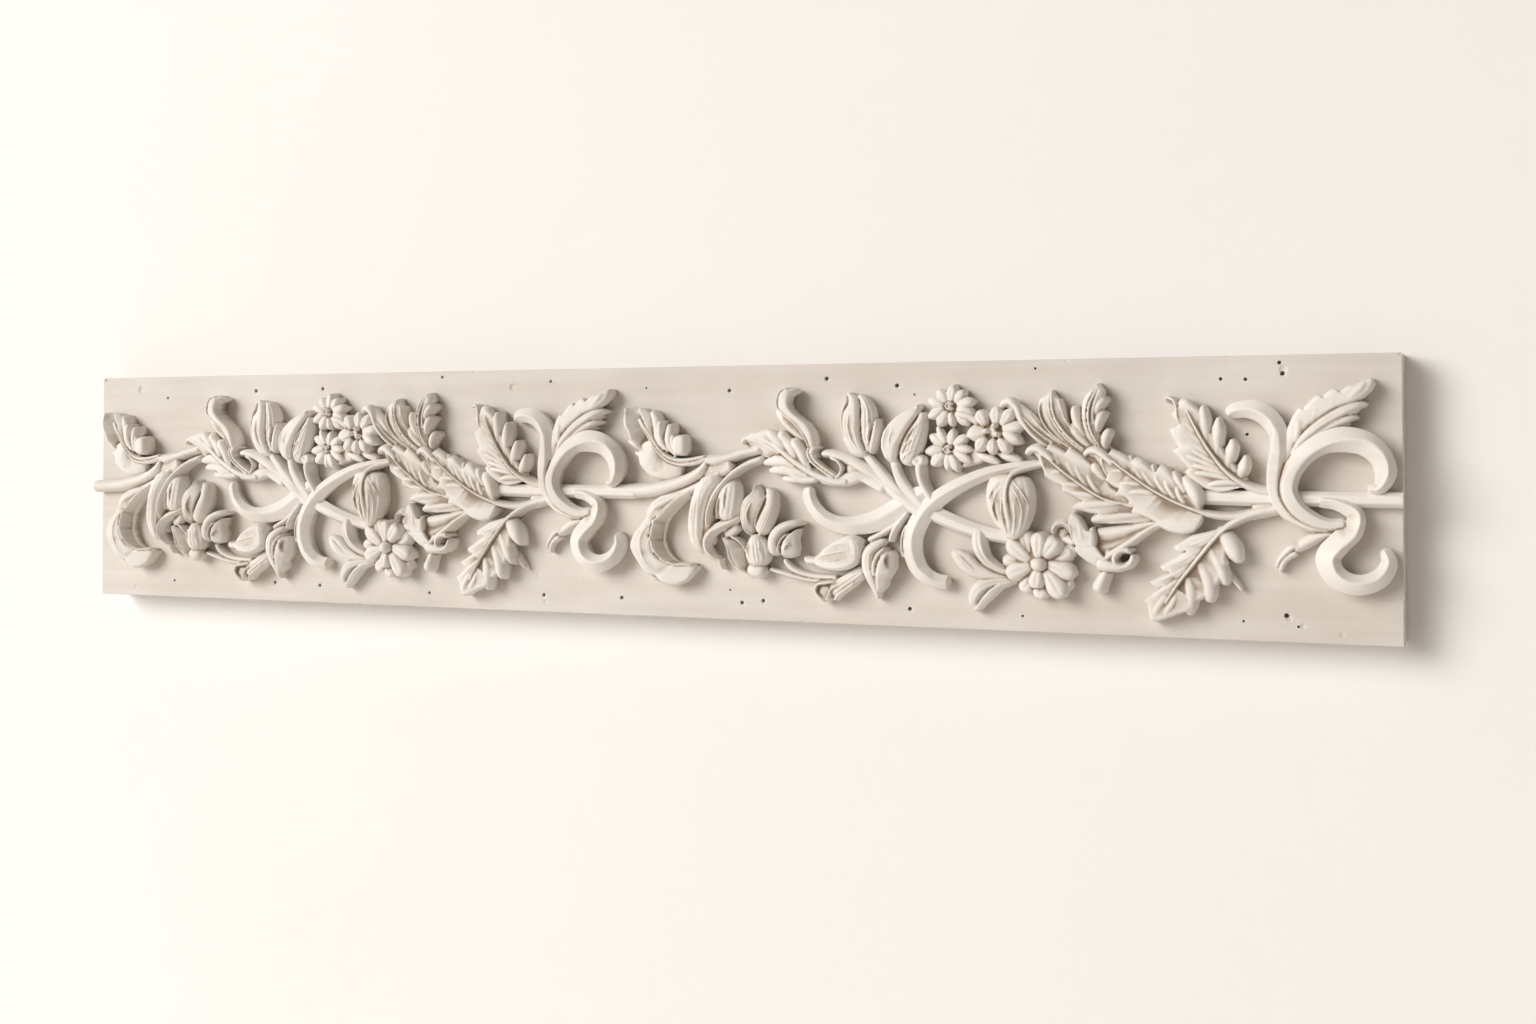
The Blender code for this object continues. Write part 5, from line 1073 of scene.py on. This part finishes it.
def paint_shade_and_highlight(piece):
    """Mark how far each point stands proud of the points round it.

    This paints a highlight on the crests and paints shade in the creases and near the slab's face.
    """
    mesh = piece.data
    count = len(mesh.vertices)
    points = np.empty(count * 3)
    normals = np.empty(count * 3)
    edges = np.empty(len(mesh.edges) * 2, int)
    mesh.vertices.foreach_get("co", points)
    mesh.vertex_normals.foreach_get("vector", normals)
    mesh.edges.foreach_get("vertices", edges)
    points, normals, edges = points.reshape(-1, 3), normals.reshape(-1, 3), edges.reshape(-1, 2)
    ends = np.concatenate((edges[:, 0], edges[:, 1]))
    others = np.concatenate((edges[:, 1], edges[:, 0]))
    per_edge = 1.0 / np.bincount(ends, minlength=count)
    smoothed = points
    proud = np.zeros(count)
    for passes in range(1, max(PAINTED_SHADE_PASSES) + 1):
        sums = [np.bincount(ends, smoothed[others, axis], count) for axis in range(3)]
        smoothed = np.column_stack(sums) * per_edge[:, None]
        if passes in PAINTED_SHADE_PASSES:
            share, full = PAINTED_SHADE_PASSES[passes]
            gap = np.einsum("ij,ij->i", points - smoothed, normals) / MM
            proud += share * np.clip(gap / full, -1, 1)
    height = -points[:, 1] / MM - SLAB_THICK
    # painted shade: darker towards the slab's face, where the foot of the ornament lies in shadow
    near_slab = np.clip(1 - height / 8, 0, 1)
    tone = np.clip(0.5 + proud / 6 - 0.3 * near_slab, 0, 1)     # 0.5 is the plain colour
    # the attribute carries the painted shade and painted highlight into the material
    paint = mesh.color_attributes.new("painted_light", "FLOAT_COLOR", "POINT")
    paint.data.foreach_set("color", np.column_stack((tone, tone, tone, np.ones(count))).ravel())


def ornaments():
    """The 15 pieces of ornament of each repeat, the left ones copied from the right ones."""
    made = []
    groups = (
        ("curled_end_leaf", curled_end_leaf()),
        ("vine", vine() + arc_stem()),
        ("crescent_leaf", crescent_leaf()),
        ("cocoon_and_small_buds", cocoon() + small_buds()),
        ("scroll_and_hooded_leaf", scroll_leaf() + hooded_leaf()),
        ("tulips", tulips()),
        ("ribbons", loop_ribbon()),
        ("blossoms", blossoms()),
        ("daisy_and_hanging_bud", daisy() + hanging_bud() + low_sprigs()),
        ("fronds_and_great_leaves", fronds() + great_leaves()),
        ("lily", lily()),
        ("upright_acanthus", upright_acanthus()),
        ("flying_leaf", flying_leaf()),
        ("hanging_acanthus", hanging_acanthus()),
        ("knot", knot()),
    )
    for name, forms in groups:
        right = grow(name + "_right", forms)
        # painted shade in the creases and near the slab, and a painted highlight on the crests
        paint_shade_and_highlight(right)
        left = copied_to_left(right)
        left.name = name + "_left"
        left.data.name = name + "_left"
        if min(vertex.co.x for vertex in left.data.vertices) < CAD_LOW.x:
            cut_square(left, CAD_LOW.x, -1)
        if max(vertex.co.x for vertex in right.data.vertices) > CAD_HIGH.x:
            cut_square(right, CAD_HIGH.x, 1)
        made += [right, left]
    for piece in made:
        smooth_over(piece)
    return made


# nail holes in the slab: (x, z, radius, depth)
HOLES = (
    (85, 14.8, 1.1, 6), (76, 180.8, 1.2, 6), (175, 186, 1.5, 7), (247, 187, 1.5, 7), (370, 195.2, 1.2, 6),
    (475, 190, 1.2, 6), (3, 198, 0.9, 4), (197, 16.3, 1.4, 7), (245, 15.2, 1.4, 7), (358, 12.2, 1.2, 6),
    (469, 14.1, 1.4, 7), (541, 14.2, 1.4, 7), (636, 180.5, 1.4, 7), (563, 183.5, 0.8, 4),
    (647, 13.7, 1.4, 7), (665, 15.8, 1.4, 7), (637, 23.4, 0.8, 4), (718, 188.6, 1.5, 7),
    (775, 182.5, 1.5, 7), (789, 175.4, 0.8, 4), (785, 13.7, 1.4, 7), (882, 193.6, 0.9, 5),
    (872, 11.5, 0.9, 5), (1015, 183.8, 1.2, 6), (1032, 183.3, 1.2, 6), (1057, 187, 1.5, 7),
    (1055, 194.6, 1.3, 6), (1033, 144.6, 1.1, 5), (1059, 18.6, 1.6, 7), (1067, 11.2, 0.9, 5),
    (1030, 13.7, 0.8, 5),
)
# shallow craters where plaster has flaked: (x, z, radius, depth)
CRATERS = (
    (1135.5, 199.5, 2.6, 0.8), (1135.8, 121, 2.0, 0.5), (1135.6, 34, 2.4, 0.6), (0.5, 199.6, 2.8, 0.8),
    (0.4, 61, 2.2, 0.5), (402, 199.8, 2.6, 0.5), (905, 199.7, 2.2, 0.5), (699, 0.3, 2.4, 0.5),
    (288, 0.4, 2.0, 0.5), (1, 1, 2.4, 0.7), (45, 188.7, 3.6, 1.2), (439, 185.6, 3.2, 1.1),
    (41, 8, 2.6, 0.5), (1058, 190, 3.2, 0.9), (1061, 17, 2.8, 0.9), (1070.5, 11.8, 2.2, 0.7),
    (1096, 7, 2.2, 0.4), (1109, 62.5, 2.0, 0.4), (471, 8.4, 2.4, 0.5), (464, 30, 2.0, 0.4),
)
# faint rings scratched in the plaster: (x, z, radius, squeeze)
SCRATCHES = (
    (491, 31, 5.0, 0.6), (503, 27, 4.2, 0.7), (514, 33, 3.6, 0.5), (498, 19, 5.5, 0.35),
    (512, 18.5, 2.6, 0.6),
)
EDGE_WEAR = 0.9         # how far the slab's edges are rounded
SCRATCH_THICK = 0.3     # radius of a scratch's section
SCRATCH_OUT = 0.12      # how far the middle of its section lies out of the plaster


def slab():
    """The panel: a slab with soft edges, nail holes, small flaked craters and scratches."""
    deselect()
    middle = (0, -SLAB_THICK * MM / 2, 0)
    bpy.ops.mesh.primitive_cube_add(size=1.0, location=middle)
    panel = bpy.context.object
    panel.name = "panel"
    panel.data.name = "panel"
    edit_all(panel)
    bpy.ops.transform.resize(value=(PANEL_LENGTH * MM, SLAB_THICK * MM, PANEL_HEIGHT * MM),
                             center_override=middle)
    bpy.ops.mesh.bevel(offset=EDGE_WEAR * MM, segments=3, affect="EDGES")
    bpy.ops.object.mode_set(mode="OBJECT")
    bpy.ops.object.transform_apply(location=True, rotation=True, scale=True)
    cutters = []
    for x, z, radius, depth in HOLES:
        deselect()
        bpy.ops.mesh.primitive_cone_add(vertices=20, radius1=1.25 * radius * MM, radius2=0.9 * radius * MM,
                                        depth=2 * depth * MM, location=on_panel(x, z, SLAB_THICK),
                                        rotation=(math.radians(-90), 0, 0))
        cutters.append(bpy.context.object)
    # plaster has also flaked at the rims of the wide holes
    rims = tuple((x + 1.0, z - 0.5, radius + 1.2, 0.45) for x, z, radius, depth in HOLES if radius > 1.3)
    for x, z, radius, depth in CRATERS + rims:
        deselect()
        ball_radius = (radius * radius + depth * depth) / (2 * depth)
        bpy.ops.mesh.primitive_ico_sphere_add(subdivisions=5, radius=ball_radius * MM,
                                              location=on_panel(x, z, SLAB_THICK + ball_radius - depth))
        cutters.append(bpy.context.object)
    for x, z, radius, squeeze in SCRATCHES:
        deselect()
        bpy.ops.mesh.primitive_torus_add(major_segments=40, minor_segments=6, major_radius=radius * MM,
                                         minor_radius=SCRATCH_THICK * MM,
                                         location=on_panel(x, z, SLAB_THICK + SCRATCH_OUT))
        ring = bpy.context.object
        turn = 8 * x % 50       # each ring is turned by another angle
        ring.scale = (1, squeeze, 1)
        ring.rotation_euler = (math.radians(90), math.radians(turn), 0)
        cutters.append(ring)
    for cutter in cutters:
        apply_modifier(panel, "BOOLEAN", operation="DIFFERENCE", solver="EXACT", object=cutter)
    select_only(*cutters)
    bpy.ops.object.delete()
    return panel


# ---- finish

def shader_nodes(name):
    """A new material, its nodes, its links and its main shader."""
    material = bpy.data.materials.new(name)
    material.use_nodes = True
    nodes = material.node_tree.nodes
    links = material.node_tree.links
    return material, nodes, links, nodes["Principled BSDF"]


def plaster(name, crest=None):
    """Warm off-white paint over plaster: cloudy, faintly streaked along the panel, speckled and grained.

    With a colour for the crests, which is a painted highlight, the colour is also darker in the creases and
    near the slab as marked on the mesh: painted shade.
    """
    material, nodes, links, skin = shader_nodes(name)
    place = nodes.new("ShaderNodeTexCoord")

    def noise(scale, detail, stretch=(1, 1, 1)):
        mapping = nodes.new("ShaderNodeMapping")
        mapping.inputs["Scale"].default_value = stretch
        links.new(place.outputs["Object"], mapping.inputs["Vector"])
        texture = nodes.new("ShaderNodeTexNoise")
        texture.inputs["Scale"].default_value = scale
        texture.inputs["Detail"].default_value = detail
        links.new(mapping.outputs["Vector"], texture.inputs["Vector"])
        return texture.outputs["Fac"]

    def ramp(source, *stops):
        node = nodes.new("ShaderNodeValToRGB")
        while len(node.color_ramp.elements) < len(stops):
            node.color_ramp.elements.new(0.5)
        for element, (at, colour) in zip(node.color_ramp.elements, stops):
            element.position = at
            element.color = (*colour, 1)
        links.new(source, node.inputs["Fac"])
        return node.outputs["Color"]

    def mixed(kind, share, a, b):
        node = nodes.new("ShaderNodeMix")
        node.data_type = "RGBA"
        node.blend_type = kind
        node.inputs["Factor"].default_value = share
        links.new(a, node.inputs["A"])
        links.new(b, node.inputs["B"])
        return node.outputs["Result"]

    plain = (1, 1, 1)
    clouds = ramp(noise(7, 4), (0.32, (0.665, 0.617, 0.567)), (0.68, (0.75, 0.704, 0.656)))
    streaks = ramp(noise(9, 5, (0.6, 1, 9)), (0.35, (0.93, 0.915, 0.89)), (0.62, plain))
    specks = ramp(noise(900, 2), (0.25, (0.80, 0.75, 0.68)), (0.31, plain))
    colour = mixed("MULTIPLY", 0.8, clouds, streaks)
    colour = mixed("MULTIPLY", 0.8, colour, specks)
    if crest:
        # painted shade in the creases and near the slab, and a painted highlight on the crests, from the tone
        # marked on the mesh
        painted_light_attribute = nodes.new("ShaderNodeVertexColor")
        painted_light_attribute.layer_name = "painted_light"
        shade_and_highlight_colour = ramp(painted_light_attribute.outputs["Color"], (0.10, (0.44, 0.36, 0.29)), (0.34, (0.91, 0.88, 0.84)),
                    (0.5, plain), (0.72, crest))
        colour = mixed("MULTIPLY", 1.0, colour, shade_and_highlight_colour)
    links.new(colour, skin.inputs["Base Color"])
    roughness = ramp(noise(60, 4), (0.3, (0.50, 0.50, 0.50)), (0.7, (0.66, 0.66, 0.66)))
    links.new(roughness, skin.inputs["Roughness"])
    skin.inputs["Specular IOR Level"].default_value = 0.35
    # grain, dents and brush marks, each with (pattern, strength, depth in metres)
    unevenness = (
        (noise(900, 3), 0.10, 0.0004),
        (noise(120, 4), 0.22, 0.0006),
        (noise(60, 3, (0.25, 1, 2.5)), 0.18, 0.0008),
    )
    surface = skin.inputs["Normal"]
    for pattern, strength, depth in reversed(unevenness):
        bump = nodes.new("ShaderNodeBump")
        bump.inputs["Strength"].default_value = strength
        bump.inputs["Distance"].default_value = depth
        links.new(pattern, bump.inputs["Height"])
        links.new(bump.outputs["Normal"], surface)
        surface = bump.inputs["Normal"]
    return material


def wall_paint():
    """White wall paint that shows on a face's front only, so that the back of the panel can be looked at."""
    material, nodes, links, skin = shader_nodes("wall_paint")
    place = nodes.new("ShaderNodeTexCoord")
    texture = nodes.new("ShaderNodeTexNoise")
    texture.inputs["Scale"].default_value = 3
    links.new(place.outputs["Object"], texture.inputs["Vector"])
    shade = nodes.new("ShaderNodeValToRGB")
    shade.color_ramp.elements[0].color = (0.875, 0.86, 0.84, 1)
    shade.color_ramp.elements[1].color = (0.905, 0.89, 0.87, 1)
    links.new(texture.outputs["Fac"], shade.inputs["Fac"])
    links.new(shade.outputs["Color"], skin.inputs["Base Color"])
    skin.inputs["Roughness"].default_value = 0.85
    faces = nodes.new("ShaderNodeNewGeometry")
    clear = nodes.new("ShaderNodeBsdfTransparent")
    both = nodes.new("ShaderNodeMixShader")
    links.new(faces.outputs["Backfacing"], both.inputs["Fac"])
    links.new(skin.outputs["BSDF"], both.inputs[1])
    links.new(clear.outputs["BSDF"], both.inputs[2])
    links.new(both.outputs["Shader"], nodes["Material Output"].inputs["Surface"])
    return material


def studio():
    """The wall that the panel is fixed to, with the place behind the panel left open, and a floor below."""
    deselect()
    bpy.ops.mesh.primitive_plane_add(size=1.0, location=(0, 0, 0))
    wall = bpy.context.object
    wall.name = "wall"
    opening = (PANEL_LENGTH * MM - 0.006, 1, PANEL_HEIGHT * MM - 0.006)     # a little smaller than the panel
    spread = (5.5, 1, 12.0)     # the wall as a multiple of its opening
    rise = 0.45                 # how far the wall's middle lies above the panel's
    edit_all(wall)
    bpy.ops.transform.rotate(value=math.radians(-90), orient_axis="X", center_override=(0, 0, 0))
    bpy.ops.transform.resize(value=opening, center_override=(0, 0, 0))
    bpy.ops.mesh.select_mode(type="EDGE")
    bpy.ops.mesh.select_all(action="SELECT")
    bpy.ops.mesh.extrude_edges_move()
    bpy.ops.transform.resize(value=spread, center_override=(0, 0, 0))
    bpy.ops.transform.translate(value=(0, 0, rise))
    # the face in the opening goes, and the wall moves back by a hair
    bpy.ops.mesh.select_all(action="DESELECT")
    bpy.ops.object.mode_set(mode="OBJECT")
    for face in wall.data.polygons:
        face.select = abs(face.center.z) < 0.05 and face.area < 0.3
    bpy.ops.object.mode_set(mode="EDIT")
    bpy.ops.mesh.select_mode(type="FACE")
    bpy.ops.mesh.delete(type="FACE")
    bpy.ops.mesh.select_all(action="SELECT")
    bpy.ops.transform.translate(value=(0, 0.0006, 0))
    bpy.ops.object.mode_set(mode="OBJECT")
    wall.data.materials.append(wall_paint())
    bpy.ops.mesh.primitive_plane_add(size=8.0, location=(0, -3.9, -0.75))
    floor = bpy.context.object
    floor.name = "floor"
    bpy.ops.object.transform_apply(location=True, rotation=True, scale=True)
    floor.data.materials.append(wall.data.materials[0])
    return wall, floor


DAYLIGHT = (1.0, 0.985, 0.965)


def lamp(name, place, towards, size, power, colour):
    """A round soft light at a place, turned towards another."""
    deselect()
    bpy.ops.object.light_add(type="AREA", location=place)
    made = bpy.context.object
    made.name = name
    made.data.shape = "DISK"
    made.data.size = size
    made.data.energy = power
    made.data.color = colour
    made.rotation_euler = (Vector(towards) - Vector(place)).to_track_quat("-Z", "Y").to_euler()


def lighting():
    """A window high on the left, a warm bounce low on the right, a wide soft sky and a dim warm room."""
    lamp("window", (-2.6, -3.2, 1.5), (0.05, 0, 0), 2.4, 73, DAYLIGHT)
    lamp("bounce", (3.0, -1.6, -0.9), (0.3, 0, 0), 2.2, 12, (1.0, 0.92, 0.84))
    deselect()
    bpy.ops.object.light_add(type="SUN", location=(-1.6, -2, 1))
    sky = bpy.context.object
    sky.name = "sky"
    sky.data.angle = math.radians(42)
    sky.data.energy = 1.72
    sky.data.color = DAYLIGHT
    sky.rotation_euler = Vector((0.8, 1.0, -0.43)).to_track_quat("-Z", "Y").to_euler()
    room = bpy.data.worlds.new("room")
    room.use_nodes = True
    background = room.node_tree.nodes["Background"]
    background.inputs["Color"].default_value = (1.0, 0.88, 0.76, 1)
    background.inputs["Strength"].default_value = 0.19
    bpy.context.scene.world = room
    bpy.context.scene.view_settings.view_transform = "Standard"
    bpy.context.scene.view_settings.gamma = 0.93


def camera():
    """The view from the front right, a little above the middle."""
    deselect()
    bpy.ops.object.camera_add(location=(0.6218, -1.2837, 0.0347),
                              rotation=(math.radians(91.126), 0, math.radians(22.55)))
    made = bpy.context.object
    made.data.lens = 40.7
    made.data.sensor_width = 36
    made.data.shift_y = -0.0636
    made.data.clip_start = 0.02
    bpy.context.scene.camera = made


# ---- the whole

camera()
panel = slab()
finished = ornaments() + [panel]
for made, ring, turn in balls.values():
    bpy.data.objects.remove(made, do_unlink=True)
ground_paint = plaster("ground_paint")
# the crest colour is a painted highlight, lighter than the plain paint
relief_paint = plaster("relief_paint", crest=(1.16, 1.18, 1.20))
for piece in finished:
    piece.data.materials.clear()
    piece.data.materials.append(ground_paint if piece is panel else relief_paint)
    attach(piece, "root")
    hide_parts("frieze_moulding")
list(studio())
lighting()
